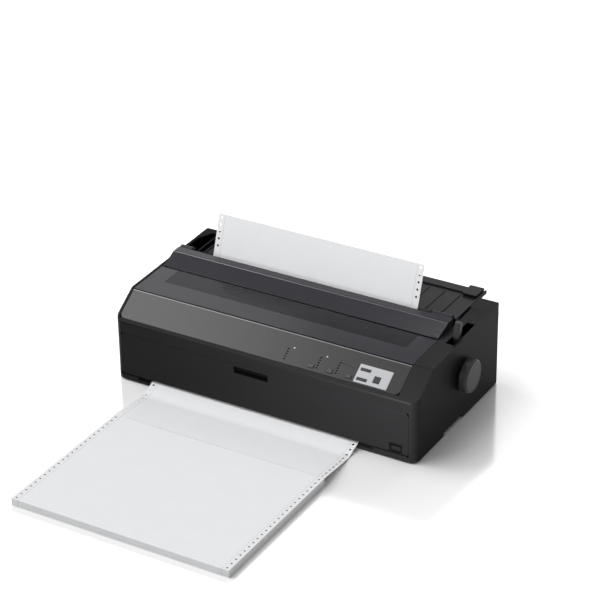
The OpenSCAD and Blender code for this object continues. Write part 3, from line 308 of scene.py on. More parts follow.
# Plastics: name, colour, roughness, fineness and depth of the grain, specular, coat.
# Metals: name, colour, roughness.
M = {
    "case": moulded("case_plastic", (0.0045, 0.0045, 0.0048), 0.46, 2600, 0.06, 0.065),
    "cover": moulded("front_cover_plastic", (0.005, 0.005, 0.0053), 0.46, 2600, 0.06, 0.05),
    # painted shade: a darker copy of the front cover's moulding, for its finger recess and its inside
    "recess": moulded("recess_painted_shade", (0.0015, 0.0015, 0.0016), 0.6, 2600, 0.06, 0.02),
    "panel": moulded("panel_plastic", (0.030, 0.030, 0.030), 0.42, 2600, 0.05, 0.35),
    "smoked": moulded("smoked_plastic", (0.017, 0.0165, 0.024), 0.3, 1500, 0.01, 0.45, 0.1),
    # painted highlight: the crest bead is coloured far lighter than the smoked plastic, to show a bright
    # line along the crest
    "crest_painted_highlight": moulded("crest_bead_painted_highlight", (0.16, 0.158, 0.185), 0.22, 1200, 0.01, 0.8,
                            0.3),
    "window": moulded("smoked_window_plastic", (0.006, 0.006, 0.009), 0.26, 1500, 0.01, 0.26),
    # painted highlight: the panel's lip is coloured light grey, to show a bright line along the panel's rear
    # edge
    "lip": moulded("panel_lip_painted_highlight", (0.30, 0.30, 0.305), 0.3, 1500, 0.01, 0.7),
    "guide": moulded("guide_plastic", (0.016, 0.016, 0.018), 0.5, 2600, 0.06, 0.14),
    "button": moulded("button_plastic", (0.055, 0.055, 0.056), 0.42, 2000, 0.03, 0.35),
    "button_dark": moulded("dark_button_plastic", (0.035, 0.035, 0.038), 0.4, 2000, 0.03, 0.35),
    "switch": moulded("switch_plastic", (0.012, 0.012, 0.013), 0.3, 1500, 0.02, 0.45),
    "label": moulded("label_film", (0.62, 0.63, 0.65), 0.38, 3000, 0.02, 0.4),
    "lens_dark": moulded("dark_lens", (0.004, 0.004, 0.004), 0.5, 800, 0.01, 0.05),
    # painted glow: the two lit lenses are coloured pale and give no light
    "lens_lit": moulded("lit_lens", (0.86, 0.9, 0.84), 0.2, 800, 0.01, 0.6),
    "knob": moulded("knob_plastic", (0.045, 0.045, 0.047), 0.45, 2200, 0.05, 0.35),
    "lever": moulded("lever_plastic", (0.055, 0.055, 0.057), 0.45, 2200, 0.05, 0.35),
    "rubber": moulded("foot_rubber", (0.02, 0.02, 0.02), 0.8, 1800, 0.15, 0.2),
    "platen": moulded("platen_rubber", (0.016, 0.016, 0.017), 0.62, 3000, 0.12, 0.3),
    "mechanism": moulded("mechanism_plastic", (0.026, 0.026, 0.028), 0.45, 1800, 0.08, 0.35),
    "acetal": moulded("acetal_plastic", (0.62, 0.60, 0.53), 0.35, 1500, 0.03, 0.45),
    "blue": moulded("lever_blue_plastic", (0.05, 0.14, 0.24), 0.4, 1800, 0.04, 0.4),
    "belt": moulded("belt_rubber", (0.018, 0.018, 0.019), 0.7, 1800, 0.12, 0.25),
    "ribbon": moulded("ribbon_fabric", (0.012, 0.012, 0.014), 0.85, 4000, 0.3, 0.15),
    "film": moulded("cable_film", (0.62, 0.58, 0.47), 0.3, 900, 0.02, 0.5),
    "green_board": moulded("green_board", (0.02, 0.10, 0.05), 0.4, 1500, 0.06, 0.5),
    "tan_board": moulded("tan_board", (0.30, 0.20, 0.10), 0.5, 1500, 0.06, 0.4),
    "steel": metal("plated_steel", (0.52, 0.53, 0.55), 0.34),
    "bright": metal("ground_steel", (0.66, 0.66, 0.68), 0.2),
    "can": metal("motor_steel", (0.42, 0.43, 0.45), 0.38),
    "brass": metal("turned_brass", (0.72, 0.55, 0.26), 0.26),
    "anodised": metal("black_aluminium", (0.09, 0.09, 0.10), 0.42),
    "paper": paper_material(),
}

USES = {
    "case": ["lower_case", "upper_case"],
    "cover": ["front_cover"],
    "panel": ["control_panel"],
    "smoked": ["printer_cover"],
    "guide": ["paper_guide", "edge_guide_left", "edge_guide_right", "switch_housing", "ac_inlet"],
    "button": ["button_menu", "button_font", "button_tear_off"],
    "button_dark": ["button_load", "button_feed", "button_pause"],
    "switch": ["power_switch"],
    "label": ["label_plate"],
    "lens_lit": ["status_lights"],
    "knob": ["knob"],
    "lever": ["paper_release_lever"],
    "rubber": ["rubber_feet"],
    "platen": ["platen_roller"],
    "mechanism": ["tractor_left", "tractor_right", "tractor_cover_left", "tractor_cover_right",
                  "carriage", "ribbon_cartridge", "ribbon_knob"],
    "acetal": ["platen_bushings", "platen_gear", "reduction_gear", "transfer_gear",
               "tractor_gear", "idler_pulley"],
    "blue": ["thickness_lever"],
    "belt": ["timing_belt"],
    "ribbon": ["ribbon"],
    "film": ["head_cable"],
    "green_board": ["main_board"],
    "tan_board": ["power_board"],
    "steel": ["side_frame_left", "side_frame_right", "rear_beam", "front_rail",
              "idler_bracket", "interface_ports"],
    "bright": ["guide_shaft", "platen_shaft", "tractor_shaft", "tractor_rod", "case_screws"],
    "can": ["feed_motor", "carriage_motor"],
    "brass": ["motor_pinion", "motor_pulley"],
    "anodised": ["print_head"],
    "paper": ["paper_web", "fanfold_stack"],
}


def dress_nodes():
    for name, nodes in USES.items():
        for node in nodes:
            mesh = frame["nodes"][node].data
            mesh.materials.clear()
            mesh.materials.append(M[name])


dress_nodes()


# ---- building blocks ----
MERGE = 1e-5           # metres; points nearer than this become one
FULL_ROUND = 35        # an edge this many degrees sharper than the least gets the full radius
LEAST_SHARP = 20       # degrees; edges blunter than this stay as they are
ROOM = 0.4             # the part of a face's span that a rounding may take
BEVEL_STEPS = 3


def put(name, mesh, material, body=None):
    """Adds a mesh as a piece of one material; it rides on the body, if one is given."""
    piece = bpy.data.objects.new(name, mesh)
    scene.collection.objects.link(piece)
    mesh.materials.clear()
    mesh.materials.append(M[material])
    if body:
        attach(piece, body)
    return piece


def drop_normals(mesh):
    """Removes stored normals, which a change of shape would leave wrong."""
    if "custom_normal" in mesh.attributes:
        mesh.attributes.remove(mesh.attributes["custom_normal"])


def mesh_of(bm, name):
    """The mesh with what was built in bm."""
    mesh = bpy.data.meshes.new(name)
    bm.to_mesh(mesh)
    bm.free()
    return mesh


def settle(piece):
    """Turns the piece's modifiers into its mesh."""
    graph = bpy.context.evaluated_depsgraph_get()
    piece.data = bpy.data.meshes.new_from_object(piece.evaluated_get(graph))
    drop_normals(piece.data)
    piece.modifiers.clear()


def soften(piece, angle=32):
    """Smooth faces that stay crisp at edges sharper than the angle, in degrees."""
    piece.data.shade_smooth()
    piece.data.set_sharp_from_angle(angle=math.radians(angle))
    weighted = piece.modifiers.new("normals", "WEIGHTED_NORMAL")
    weighted.keep_sharp = True


def simplified(bm, merge, flat):
    """Merges near points and joins facets that meet at less than flat degrees."""
    bmesh.ops.remove_doubles(bm, verts=bm.verts, dist=merge)
    if flat:
        bmesh.ops.dissolve_limit(bm, angle_limit=math.radians(flat), verts=bm.verts,
                                 edges=bm.edges)


def cleaned(mesh, merge=MERGE, flat=0.5):
    """The mesh simplified, and without its stored normals."""
    drop_normals(mesh)
    bm = bmesh.new()
    bm.from_mesh(mesh)
    simplified(bm, merge, flat)
    bm.to_mesh(mesh)
    bm.free()
    return mesh


def face_span(face, edge):
    """How far a face reaches away from one of its edges."""
    return face.calc_area() / max(edge.calc_length(), 1e-6)


def round_edges(piece, width):
    """Rounds the convex edges; blunt edges and edges of narrow faces get less than the width."""
    bm = bmesh.new()
    bm.from_mesh(piece.data)
    simplified(bm, MERGE, 0.8)
    layers = bm.edges.layers.float
    weight = layers.get("bevel_weight_edge") or layers.new("bevel_weight_edge")
    for edge in bm.edges:
        if not (edge.is_manifold and edge.is_convex):
            continue
        fade = (math.degrees(edge.calc_face_angle(0)) - LEAST_SHARP) / FULL_ROUND
        room = ROOM * min(face_span(face, edge) for face in edge.link_faces) / width
        edge[weight] = clamped(min(fade, room))
    bm.to_mesh(piece.data)
    bm.free()
    bevel = piece.modifiers.new("bevel", "BEVEL")
    bevel.limit_method = "WEIGHT"
    bevel.width = width
    bevel.segments = BEVEL_STEPS
    bevel.use_clamp_overlap = False
    settle(piece)
    soften(piece)


def lofted(rings, name="lofted"):
    """A closed solid through rings with the same number of points."""
    bm = bmesh.new()
    rows = [[bm.verts.new(point) for point in ring] for ring in rings]
    count = len(rows[0])
    for first, second in zip(rows, rows[1:]):
        for i in range(count):
            j = (i + 1) % count
            bm.faces.new((first[i], first[j], second[j], second[i]))
    bm.faces.new(rows[0])
    bm.faces.new(reversed(rows[-1]))
    bmesh.ops.recalc_face_normals(bm, faces=bm.faces)
    return mesh_of(bm, name)


def extruded(outline, x0, x1):
    """A closed solid: an outline of (y, z) points in millimetres, drawn from x0 to x1."""
    return lofted([[at(x, y, z) for y, z in outline] for x in (x0, x1)])


def slab(low, high):
    """A closed block between two corners, in millimetres."""
    (x0, y0, z0), (x1, y1, z1) = low, high
    return extruded([(y0, z0), (y1, z0), (y1, z1), (y0, z1)], x0, x1)


def joined(meshes):
    """One mesh from several."""
    bm = bmesh.new()
    for mesh in meshes:
        bm.from_mesh(mesh)
    return mesh_of(bm, "joined")


def rods(specs, segments=20):
    """Closed cylinders from (middle, axis, radius, length): points from at(), sizes in mm."""
    bm = bmesh.new()
    for middle, axis, radius, length in specs:
        turn = Vector(axis).to_track_quat("Z", "Y").to_matrix().to_4x4()
        bmesh.ops.create_cone(bm, cap_ends=True, segments=segments, radius1=radius * MM,
                              radius2=radius * MM, depth=length * MM,
                              matrix=Matrix.Translation(middle) @ turn)
    return mesh_of(bm, "rods")


def cut(piece, cutter_mesh):
    """Takes the cutter away from the piece."""
    cutter = bpy.data.objects.new("cutter", cutter_mesh)
    scene.collection.objects.link(cutter)
    take = piece.modifiers.new("cut", "BOOLEAN")
    take.object = cutter
    take.operation = "DIFFERENCE"
    take.solver = "EXACT"
    settle(piece)
    bpy.data.objects.remove(cutter)


# ---- pieces made from a CAD node, with its edges rounded ----
EDGE_RADII = {
    1.6: ["knob"],
    1.0: ["front_cover", "edge_guide_left", "edge_guide_right"],
    0.8: ["paper_guide", "paper_release_lever", "ribbon_cartridge", "rubber_feet"],
    0.5: ["switch_housing", "power_switch", "tractor_left", "tractor_right", "print_head",
          "thickness_lever", "feed_motor", "carriage_motor", "ac_inlet", "carriage"],
    0.3: ["control_panel", "button_menu", "button_font", "button_tear_off", "button_load",
          "button_feed", "button_pause", "tractor_cover_left", "tractor_cover_right",
          "interface_ports", "ribbon_knob"],
}


def rounded_copy(node, width):
    """A copy of a node with rounded edges; it stands for the node and rides on its body."""
    source = frame["nodes"][node]
    mesh = source.data.copy()
    piece = bpy.data.objects.new(node + "_shell", mesh)
    scene.collection.objects.link(piece)
    round_edges(piece, width)
    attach(piece, source["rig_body"])
    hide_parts(node)


for radius, nodes in EDGE_RADII.items():
    for node in nodes:
        rounded_copy(node, radius * MM)


# ---- upper case and front cover ----
HALF_W = 293             # half the case's width
CORNER_R = 15            # radius of its round front corners
CORNER_SPARE = 0.04      # the ledge is cut this far outside the corner's face
CORNER_STEPS = 24
LEDGE_SPAN = (96, 116)   # the heights between which the ledge is cut
BEYOND = 2               # how far the cutters reach past the case
CASE_MERGE = 1e-6        # metres
COVER_SKIN = 1.2         # depth behind which the front cover is its inside


def case_shell():
    """The upper case, with the ledge tips that pass its round front corners taken off."""
    source = frame["nodes"]["upper_case"]
    mesh = cleaned(source.data.copy(), CASE_MERGE, flat=None)
    shell = put("upper_case_shell", mesh, "case", source["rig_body"])
    radius = CORNER_R + CORNER_SPARE
    cutters = []
    for side in (-1, 1):
        arc = [(side * (HALF_W - CORNER_R + radius * math.sin(a)), CORNER_R - radius * math.cos(a))
               for a in angles(0, math.pi / 2, CORNER_STEPS)]
        outer = side * (HALF_W + BEYOND)
        ring = [(side * (HALF_W - CORNER_R), -BEYOND), *arc, (outer, CORNER_R), (outer, -BEYOND)]
        cutters.append(lofted([[at(x, y, z) for x, y in ring] for z in LEDGE_SPAN]))
    cut(shell, joined(cutters))
    soften(shell, 26)
    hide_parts("upper_case")


def paint_recess_shade():
    """The finger recess and the inside of the front cover take a darker copy of its moulding, as painted
    shade.
    """
    mesh = bpy.data.objects["front_cover_shell"].data
    mesh.materials.append(M["recess"])
    for face in mesh.polygons:
        if face.center.y - case_front > COVER_SKIN * MM:
            face.material_index = 1


case_shell()
paint_recess_shade()


# ---- printer cover: smoked plate with a window, ridge with a bead, hinge tabs ----
PANEL_FOOT = 114.3       # height of the front wall, from which the panel slopes up
BREAK = (57.5, 152.4)    # depth and height where the slope meets the flat top
REAR = (306, 158.4)      # depth and height of the flat top's rear edge
COVER_X = (-287.0, 256.5)
COVER_BODY = body_of("printer_cover")

PLATE_Y = (56.7, 143.6)
PLATE_T = 2.6
GROOVE = 2.3             # depth of the groove between the plate and the ridge
GROOVE_UNDER = 3.4       # depth of its underside
WINDOW = ((-252, 222), (98.5, 141.5))
WINDOW_BED = 0.5         # depth of the window's seat in the plate
PANE = (0.7, 0.25)       # depth of the pane's underside and of its top
PANE_GAP = 0.2
CLEAR_Z = 170            # above the whole machine

RIDGE_Y = 146.2
CREST = (181.2, 167.9)
COVER_REAR = 200
SKIRT_FOOT = 159.6
SKIRT_T = 2.4
# Offsets in (y, z) of the ridge's profile, from the top of the plate at RIDGE_Y and from CREST.
RIDGE_FOOT = ((0.7, -1.6), (0, 0.7), (0.1, 1.2), (0.6, 1.5))
RIDGE_CREST = ((-1.4, -0.55), (0, 0), (1.7, 0), (1.9, -0.7), (2.6, -0.7), (2.8, 0.05))
CORNER = 9.5             # radius of the ridge's left end
CORNER_PULL = 1.3        # how much more than that its foot is drawn back
CORNER_TURNS = 10
BEAD_R = (0.85, 0.75)
BEAD_SET = 0.1
BEAD_SIDES = 14
BEAD_INSET = 0.4

FLANGE_T = 2.4
FLANGE_INSET = 0.05
FLANGE_FOOT = 152.4
HINGE = (206, 165.5)     # depth and height of the cover's hinge axis
TABS = ((-285.5, -262), (216, 253))
BARREL_R = 4.5
PIN_R, PIN_L, PIN_OUT = 2.45, 5.6, 1.8
PAD_X = (243, 256)
PADS = ((147.5, 156, 0.7), (159, 168, 0.35))  # from depth, to depth, how proud


def top_at(y):
    """Height of the case's flat top at depth y."""
    return BREAK[1] + (y - BREAK[0]) * (REAR[1] - BREAK[1]) / (REAR[0] - BREAK[0])


def cover_plate():
    y0, y1 = PLATE_Y
    outline = [(y0, top_at(y0) - 0.5), (y0 + 0.5, top_at(y0)), (y1 - 0.4, top_at(y1)),
               (y1, top_at(y1) - 0.4), (y1, top_at(y1) - GROOVE),
               (RIDGE_Y + 1, top_at(y1) - GROOVE), (RIDGE_Y + 1, top_at(y1) - GROOVE_UNDER),
               (y0, top_at(y0) - PLATE_T)]
    plate = put("cover_plate", extruded(outline, *COVER_X), "smoked", COVER_BODY)
    (x0, x1), (w0, w1) = WINDOW
    seat = [(w0, top_at(w0) - WINDOW_BED), (w1, top_at(w1) - WINDOW_BED), (w1, CLEAR_Z),
            (w0, CLEAR_Z)]
    cut(plate, extruded(seat, x0, x1))
    soften(plate, 20)
    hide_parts("printer_cover")
    under, over = PANE
    p0, p1 = w0 + PANE_GAP, w1 - PANE_GAP
    pane = [(p0, top_at(w0) - under), (p1, top_at(w1) - under), (p1, top_at(w1) - over),
            (p0, top_at(w0) - over)]
    glass = extruded(pane, x0 + PANE_GAP, x1 - PANE_GAP)
    soften(put("cover_window", glass, "window", COVER_BODY), 20)


def cover_ridge():
    """The ridge behind the window, and a bead along its crest, coloured light as a painted highlight."""
    base = top_at(RIDGE_Y)
    crest_y, crest_z = CREST
    inner = COVER_REAR - SKIRT_T
    outline = [(RIDGE_Y + dy, base + dz) for dy, dz in RIDGE_FOOT]
    outline += [(crest_y + dy, crest_z + dz) for dy, dz in RIDGE_CREST]
    outline += [(COVER_REAR - 1, crest_z + 0.5), (COVER_REAR, crest_z - 0.3),
                (COVER_REAR, SKIRT_FOOT), (inner, SKIRT_FOOT), (inner, crest_z - 2.2),
                (crest_y + 1, crest_z - 2.6), (RIDGE_Y + 3, base - 1.4)]
    x0, x1 = COVER_X

    def drawn_back(x, y, z):
        """The point, moved back where the front's left end curves round a large radius."""
        lack = max(0.0, 1 - (x - x0) / CORNER)
        back = (1 - math.sqrt(max(0.0, 1 - lack * lack))) * CORNER
        low = clamped((crest_z - z) / (crest_z - base))
        if y < crest_y - 1:
            y = min(y + back * low * CORNER_PULL, COVER_REAR - 3)
        return at(x, y, z)

    stations = [x0 + CORNER * (1 - math.cos(a)) for a in angles(0, math.pi / 2, CORNER_TURNS)]
    ridge = lofted([[drawn_back(x, y, z) for y, z in outline] for x in stations + [x1]])
    soften(put("cover_ridge", ridge, "smoked", COVER_BODY), 24)
    ring = [(crest_y - BEAD_SET + BEAD_R[0] * math.cos(a),
             crest_z - BEAD_SET + BEAD_R[1] * math.sin(a))
            for a in angles(0, 2 * math.pi, BEAD_SIDES)[:-1]]
    bead = extruded(ring, x0 + BEAD_INSET, x1 - BEAD_INSET)
    soften(put("cover_bead", bead, "crest_painted_highlight", COVER_BODY), 40)


def cover_ends():
    """Side flanges, hinge tabs with barrels and pins, and the pads at the right end."""
    x0, x1 = COVER_X
    y0, y1 = PLATE_Y[0] + 0.3, COVER_REAR - 0.4
    side = [(y0, top_at(PLATE_Y[0]) - 1), (RIDGE_Y + 4, top_at(RIDGE_Y) - 0.6),
            (CREST[0], CREST[1] - 0.8), (y1, CREST[1] - 0.4), (y1, FLANGE_FOOT),
            (y0, top_at(PLATE_Y[0]) - 4)]
    meshes = [extruded(side, x, x + FLANGE_T)
              for x in (x0 + FLANGE_INSET, x1 - FLANGE_INSET - FLANGE_T)]
    tab = [(HINGE[0] + BARREL_R * math.cos(a), HINGE[1] + BARREL_R * math.sin(a))
           for a in angles(math.radians(90), math.radians(-150), 16)]
    tab += [(COVER_REAR - 2, CREST[1] - 5.5), (COVER_REAR - 2, CREST[1] + 0.3)]
    meshes += [extruded(tab, *span) for span in TABS]
    meshes.append(rods([(at(x, *HINGE), (1, 0, 0), PIN_R, PIN_L)
                        for x in (TABS[0][1] + PIN_OUT, TABS[1][0] - PIN_OUT)]))
    soften(put("cover_hinge_tabs", joined(meshes), "smoked", COVER_BODY))

    start = top_at(RIDGE_Y) + RIDGE_FOOT[-1][1]
    rise = (CREST[1] - top_at(RIDGE_Y) - 2) / (CREST[0] - RIDGE_Y - 2)

    def pad(y0, y1, proud):
        """A raised pad on the ridge's slope."""
        z0, z1 = (start + (y - RIDGE_Y) * rise for y in (y0, y1))
        return extruded([(y0, z0 - 1), (y0, z0 + proud * 0.7), (y0 + 0.4, z0 + proud),
                         (y1 - 0.4, z1 + proud), (y1, z1 + proud * 0.7), (y1, z1 - 1)], *PAD_X)

    pads = joined([pad(*spec) for spec in PADS])
    soften(put("cover_pads", pads, "smoked", COVER_BODY), 25)


cover_plate()
cover_ridge()
cover_ends()

# ---- panel: lip along its rear edge, indicator lenses ----
PANEL_BODY = body_of("control_panel")
SLOPE = math.atan2(BREAK[1] - PANEL_FOOT, BREAK[0])
LIP_Y = 54.2
LIP_R = 0.9
LIP_SUNK = 0.45          # the part of its radius by which the lip lies in the panel
LIP_SIDES = 12
LIP_INSET = 0.3

STRIP_X = 257            # right end of the strip that the lights and buttons stand on
COLUMNS = [STRIP_X - d for d in (219, 157, 121)]
BARS_UP = 5              # bars in a column
BAR_FOOT = 14            # depth of the first bar
BAR_STEP = 19 / 4.6
BAR_R = (1.45, 1.1)      # at its foot and at its face
BAR_SHAPE = (1.5, 0.75, 1, 1)
LENS_H = 0.8
LIT = [(STRIP_X - 210, 33.8), (STRIP_X - 147.5, 34.1)]
DOME = ((1.35, 0.1), (1.1, 0.35), (0.7, 0.5))  # radius and height of its steps


def slope_z(y):
    """Height of the front slope at depth y."""
    return PANEL_FOOT + y * math.tan(SLOPE)


def slope_at(x, y, up):
    """A point on the front slope at depth y, raised by up along its normal."""
    return at(x, y - up * math.sin(SLOPE), slope_z(y) + up * math.cos(SLOPE))


# The lip's light colour is a painted highlight along the panel's rear edge.
def panel_lip():
    z = slope_z(LIP_Y) - LIP_R * LIP_SUNK
    ring = [(LIP_Y + LIP_R * math.cos(a), z + LIP_R * math.sin(a))
            for a in angles(0, 2 * math.pi, LIP_SIDES)[:-1]]
    lip = extruded(ring, COVER_X[0] + LIP_INSET, COVER_X[1] - LIP_INSET)
    soften(put("panel_lip", lip, "lip", PANEL_BODY), 40)


def lenses():
    """Small dark bars in columns, and two round lenses coloured pale as a painted glow of lit lamps."""
    bm = bmesh.new()
    for x in COLUMNS:
        for i in range(BARS_UP):
            place = Matrix.Translation(slope_at(x, BAR_FOOT + i * BAR_STEP, 0.1))
            place = place @ Matrix.Rotation(SLOPE, 4, "X") @ Matrix.Diagonal(BAR_SHAPE)
            bmesh.ops.create_cone(bm, cap_ends=True, segments=16, radius1=BAR_R[0] * MM,
                                  radius2=BAR_R[1] * MM, depth=LENS_H * MM, matrix=place)
    soften(put("status_bars", mesh_of(bm, "bars"), "lens_dark", PANEL_BODY), 40)
    normal = (0, -math.sin(SLOPE), math.cos(SLOPE))
    domes = [(slope_at(x, y, up - LENS_H / 2), normal, radius, LENS_H)
             for x, y in LIT for radius, up in DOME]
    lit = put("status_lit", rods(domes, 24), "lens_lit", PANEL_BODY)
    soften(lit, 50)
    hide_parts("status_lights")


panel_lip()
lenses()


# ---- paper: web sheared to meet the stack, more sprocket holes, a stack of many layers ----
STACK_SHIFT = 7.5        # how far the stack lies to the right of the paper in the machine
STACK_REAR = -122.0
STACK_H = 13
HOLE_PITCH = 12.7
HOLE_R = 2.0
HOLE_IN = 6.35           # from the paper's edge to the middle of its holes
paper_low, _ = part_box("fanfold_stack")
PAPER_X0 = (paper_low.x - case_mid) / MM - STACK_SHIFT
HOLE_X = (PAPER_X0 + HOLE_IN, PAPER_X0 + PAPER_W - HOLE_IN)

WEB = [(STACK_REAR, 13.15), (-30, 0.8), (8, 11.4), (38, 28.3)]  # depth and height
WEB_RADII = (36, 20)     # at the two inner points
FREE_HOLES = range(6, 10)  # counted from the stack; the model's web has none here

LAYERS = 16
LAYER_FILL = 0.49        # half a layer's thickness as a part of the layers' pitch
LAYER_TURNS = 6          # steps round a layer's folded edge
UNEVEN = 0.35            # how far a layer may lie back at its front and rear
UNEVEN_SIDE = 0.6        # its sides do this part of that


def arc_corner(a, b, c, radius, steps=8):
    """Points of the arc that rounds corner b of the path a, b, c."""
    a, b, c = Vector(a), Vector(b), Vector(c)
    into, out = (b - a).normalized(), (c - b).normalized()
    angle = math.atan2(into.x * out.y - into.y * out.x, into.dot(out))
    start = b - into * radius * math.tan(abs(angle) / 2)
    centre = start + math.copysign(1, angle) * radius * Vector((-into.y, into.x))
    return [centre + Matrix.Rotation(turn, 2) @ (start - centre)
            for turn in angles(0, angle, steps)]


web_line = [Vector(WEB[0])]
for i, bend_radius in enumerate(WEB_RADII):
    web_line += arc_corner(*WEB[i:i + 3], bend_radius)


def along_web(length):
    """(point, direction) on the web at that length from the stack's edge."""
    for a, b in zip(web_line, web_line[1:]):
        step = (b - a).length
        if length <= step:
            return a + (b - a) * length / step, (b - a).normalized()
        length -= step
    return web_line[-1], (web_line[-1] - web_line[-2]).normalized()


def mark_across(mesh, left):
    """Stores each point's distance from the paper's left edge, for the cuts in the material."""
    layer = mesh.attributes.new("across", "FLOAT", "POINT")
    for i, vertex in enumerate(mesh.vertices):
        layer.data[i].value = (vertex.co.x - case_mid) / MM - left


def make_web():
    source = frame["nodes"]["paper_web"]
    web = put("paper_web_sheet", cleaned(source.data.copy()), "paper")
    holes = []
    for k in FREE_HOLES:
        place, along = along_web(HOLE_PITCH * (k + 0.5))
        holes += [(at(x, *place), (0, -along.y, along.x), HOLE_R, 4) for x in HOLE_X]
    cut(web, rods(holes, 24))
    mark_across(web.data, PAPER_X0)
    for vertex in web.data.vertices:
        y = (vertex.co.y - case_front) / MM
        vertex.co.x += STACK_SHIFT * MM * clamped(y / STACK_REAR)
    soften(web, 30)
    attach(web, source["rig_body"])
    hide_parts("paper_web")


def make_stack():
    """Layers with folded edges, each a little uneven; the top one lies true."""
    source = frame["nodes"]["fanfold_stack"]
    front = (paper_low.y - case_front) / MM
    random = Random(5)
    pitch = STACK_H / LAYERS
    r = pitch * LAYER_FILL
    x0 = PAPER_X0 + STACK_SHIFT
    meshes = []
    for i in range(LAYERS):
        z = (i + 0.5) * pitch
        out = [random.uniform(0, UNEVEN) for _ in range(4)] if i < LAYERS - 1 else [0] * 4
        y0, y1 = front + out[0] + r, STACK_REAR - out[1] - r
        turns = angles(0, math.pi, LAYER_TURNS)
        ring = [(y1 + r * math.sin(a), z + r * math.cos(a)) for a in turns]
        ring += [(y0 - r * math.sin(a), z - r * math.cos(a)) for a in turns]
        meshes.append(extruded(ring, x0 + out[2] * UNEVEN_SIDE,
                               x0 + PAPER_W - out[3] * UNEVEN_SIDE))
    stack = put("stack_sheets", joined(meshes), "paper", source["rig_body"])
    rows = int((STACK_REAR - front) / HOLE_PITCH)
    holes = [(at(x + STACK_SHIFT, STACK_REAR - HOLE_PITCH * (k + 0.5), STACK_H / 2), (0, 0, 1),
              HOLE_R, STACK_H + 4) for k in range(rows) for x in HOLE_X]
    cut(stack, rods(holes, 20))
    mark_across(stack.data, x0)
    soften(stack, 40)
    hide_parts("fanfold_stack")


make_web()
make_stack()


# ---- inside and rear: head cable, contacts ----
CABLE_STEPS = 60
CABLE_T = 0.5
CABLE_RISE = 6           # how far the cable bows up in the middle
PLUG_W = 3
SMALL_ROUND = 0.3

INLET_MID = 14           # from the inlet's left side to its middle
BLADES = ((-6.5, 30), (0, 35), (6.5, 30))  # x from the inlet's middle, and height
BLADE_HALF, BLADE_H = 1, 4.5
BLADE_Y = (291, 300)
PORT_BARS = (((-176, 294.5, 20.6), (-126, 303, 23.4)),
             ((-96.5, 294.5, 21.6), (-90.5, 302, 23.2)))


def in_mm(point):
    """The point's place in millimetres from the middle of the case's front edge."""
    return (point.x - case_mid) / MM, (point.y - case_front) / MM, point.z / MM


def head_cable():
    """Flat cable from the right side frame to the carriage; it follows the carriage."""
    low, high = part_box("head_cable")
    root, carriage = body_of("head_cable"), body_of("carriage")
    top = (low.z + high.z) / 2
    x0, x1 = low.x, high.x - PLUG_W * MM
    rings = []
    for i in range(CABLE_STEPS + 1):
        t = i / CABLE_STEPS
        x, z = x1 + (x0 - x1) * t, top + CABLE_RISE * MM * math.sin(math.pi * t) ** 2
        rings.append([(x, low.y, z), (x, high.y, z), (x, high.y, z + CABLE_T * MM),
                      (x, low.y, z + CABLE_T * MM)])
    mesh = lofted(rings)
    mesh.shade_smooth()
    mesh.set_sharp_from_angle(angle=math.radians(40))
    cable = put("head_cable_film", mesh, "film")
    middle = (low.y + high.y) / 2
    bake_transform(cable, root, carriage, (x1, middle, top), (x0, middle, top))
    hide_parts("head_cable")
    plug = slab(in_mm(Vector((x1, low.y, low.z))), in_mm(high))
    round_edges(put("head_cable_plug", plug, "mechanism", root), 0.5 * MM)


def contacts():
    """Blades of the mains inlet and contact bars of the two ports."""
    inlet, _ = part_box("ac_inlet")
    body = body_of("ac_inlet")
    middle = in_mm(inlet)[0] + INLET_MID
    y0, y1 = BLADE_Y
    blades = [slab((middle + dx - BLADE_HALF, y0, z), (middle + dx + BLADE_HALF, y1, z + BLADE_H))
              for dx, z in BLADES]
    round_edges(put("inlet_blades", joined(blades), "bright", body), SMALL_ROUND * MM)
    bars = joined([slab(*corners) for corners in PORT_BARS])
    round_edges(put("port_bars", bars, "mechanism", body), SMALL_ROUND * MM)


head_cable()
contacts()


# ---- floor and light; places and sizes in metres ----
FLOOR_HALF = 14
FLOOR_TONE = 0.68
FLOOR_ROUGH = 0.13
FLOOR_IOR = 1.8
SKY = 0.42               # strength of the even light from all round


def add_floor():
    material, _, shader = new_material("floor_white")
    shader.inputs["Base Color"].default_value = (FLOOR_TONE, FLOOR_TONE, FLOOR_TONE, 1)
    shader.inputs["Roughness"].default_value = FLOOR_ROUGH
    shader.inputs["IOR"].default_value = FLOOR_IOR
    mesh = bpy.data.meshes.new("floor")
    corners = [(x * FLOOR_HALF, y * FLOOR_HALF, 0) for x, y in ((-1, -1), (1, -1), (1, 1), (-1, 1))]
    mesh.from_pydata(corners, [], [(0, 1, 2, 3)])
    floor = bpy.data.objects.new("floor", mesh)
    scene.collection.objects.link(floor)
    mesh.materials.append(material)
    floor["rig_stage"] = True
    return floor


def add_light(name, kind, where, target, energy):
    """A light at a place, turned to its target; a sun takes only its direction from them."""
    data = bpy.data.lights.new(name, kind)
    data.energy = energy
    light = bpy.data.objects.new(name, data)
    scene.collection.objects.link(light)
    light.location = where
    direction = Vector(target) - Vector(where)
    light.rotation_euler = direction.to_track_quat("-Z", "Y").to_euler()
    return light


def light_only(light, objects):
    """The light falls on these objects alone."""
    group = bpy.data.collections.new(light.name + "_receivers")
    for obj in objects:
        group.objects.link(obj)
    light.light_linking.receiver_collection = group


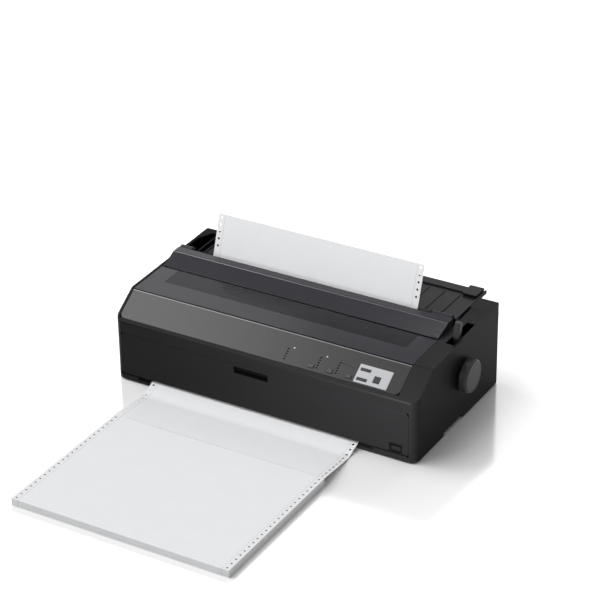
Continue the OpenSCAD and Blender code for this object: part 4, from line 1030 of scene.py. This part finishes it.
def add_world():
    world = bpy.data.worlds.new("studio")
    scene.world = world
    world.use_nodes = True
    sky = world.node_tree.nodes["Background"]
    sky.inputs["Color"].default_value = (1, 1, 1, 1)
    sky.inputs["Strength"].default_value = SKY


def made_of(*names):
    """The pieces whose first material is one of these."""
    wanted = [M[name] for name in names]
    return [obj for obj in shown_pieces() if obj.data.materials and obj.data.materials[0] in wanted]


floor = add_floor()
add_world()
PLASTICS = made_of(*(name for name in M if name != "paper"))
PAPERS = [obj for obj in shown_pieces() if obj not in PLASTICS]
SHEET = [obj for obj in PAPERS if obj.name == "paper_web_sheet"]
CASE = made_of("case", "guide")
FRONT = made_of("case", "cover")

# name, what it falls on, where it shines from, energy, angle in degrees
for name, receivers, where, energy, angle in (
        ("key", PAPERS + [floor], (-1.2, -0.5, 1.9), 2.6, 50),
        ("floor_left", [floor], (-1.9, -0.2, 0.8), 2.4, 45),
        ("floor_rear", [floor], (-0.3, 1.5, 0.75), 1.6, 50),
        ("sheet_front", SHEET, (-0.1, -1.6, 0.12), 1.15, 30)):
    sun = add_light(name, "SUN", where, (0, 0, 0), energy)
    sun.data.angle = math.radians(angle)
    light_only(sun, receivers)

# name, what it falls on, place, target, width and height, power
for name, receivers, where, target, size, power in (
        ("panel_gloss", PLASTICS, (-0.95, -0.2, 1.33), (-0.1, 0.05, 0.13), (0.6, 0.6), 12.5),
        ("top_gloss", PLASTICS, (-0.9, 1.05, 0.78), (-0.1, 0.16, 0.15), (0.6, 0.4), 0.7),
        ("strip_gloss", CASE, (-0.15, 1.12, 0.75), (0.25, 0.2, 0.15), (0.4, 0.3), 1.6),
        ("front_fill", FRONT, (0.27, -0.42, 0.28), (0.22, 0.04, 0.06), (0.3, 0.2), 17.0),
        ("ridge_gloss", PLASTICS, (0.0, 0.42, 1.4), (0.15, 0.2, 0.16), (0.35, 0.4), 3.0)):
    lamp = add_light(name, "AREA", where, target, power)
    lamp.data.shape = "RECTANGLE"
    lamp.data.size, lamp.data.size_y = size
    light_only(lamp, receivers)
scene.view_settings.view_transform = "Standard"
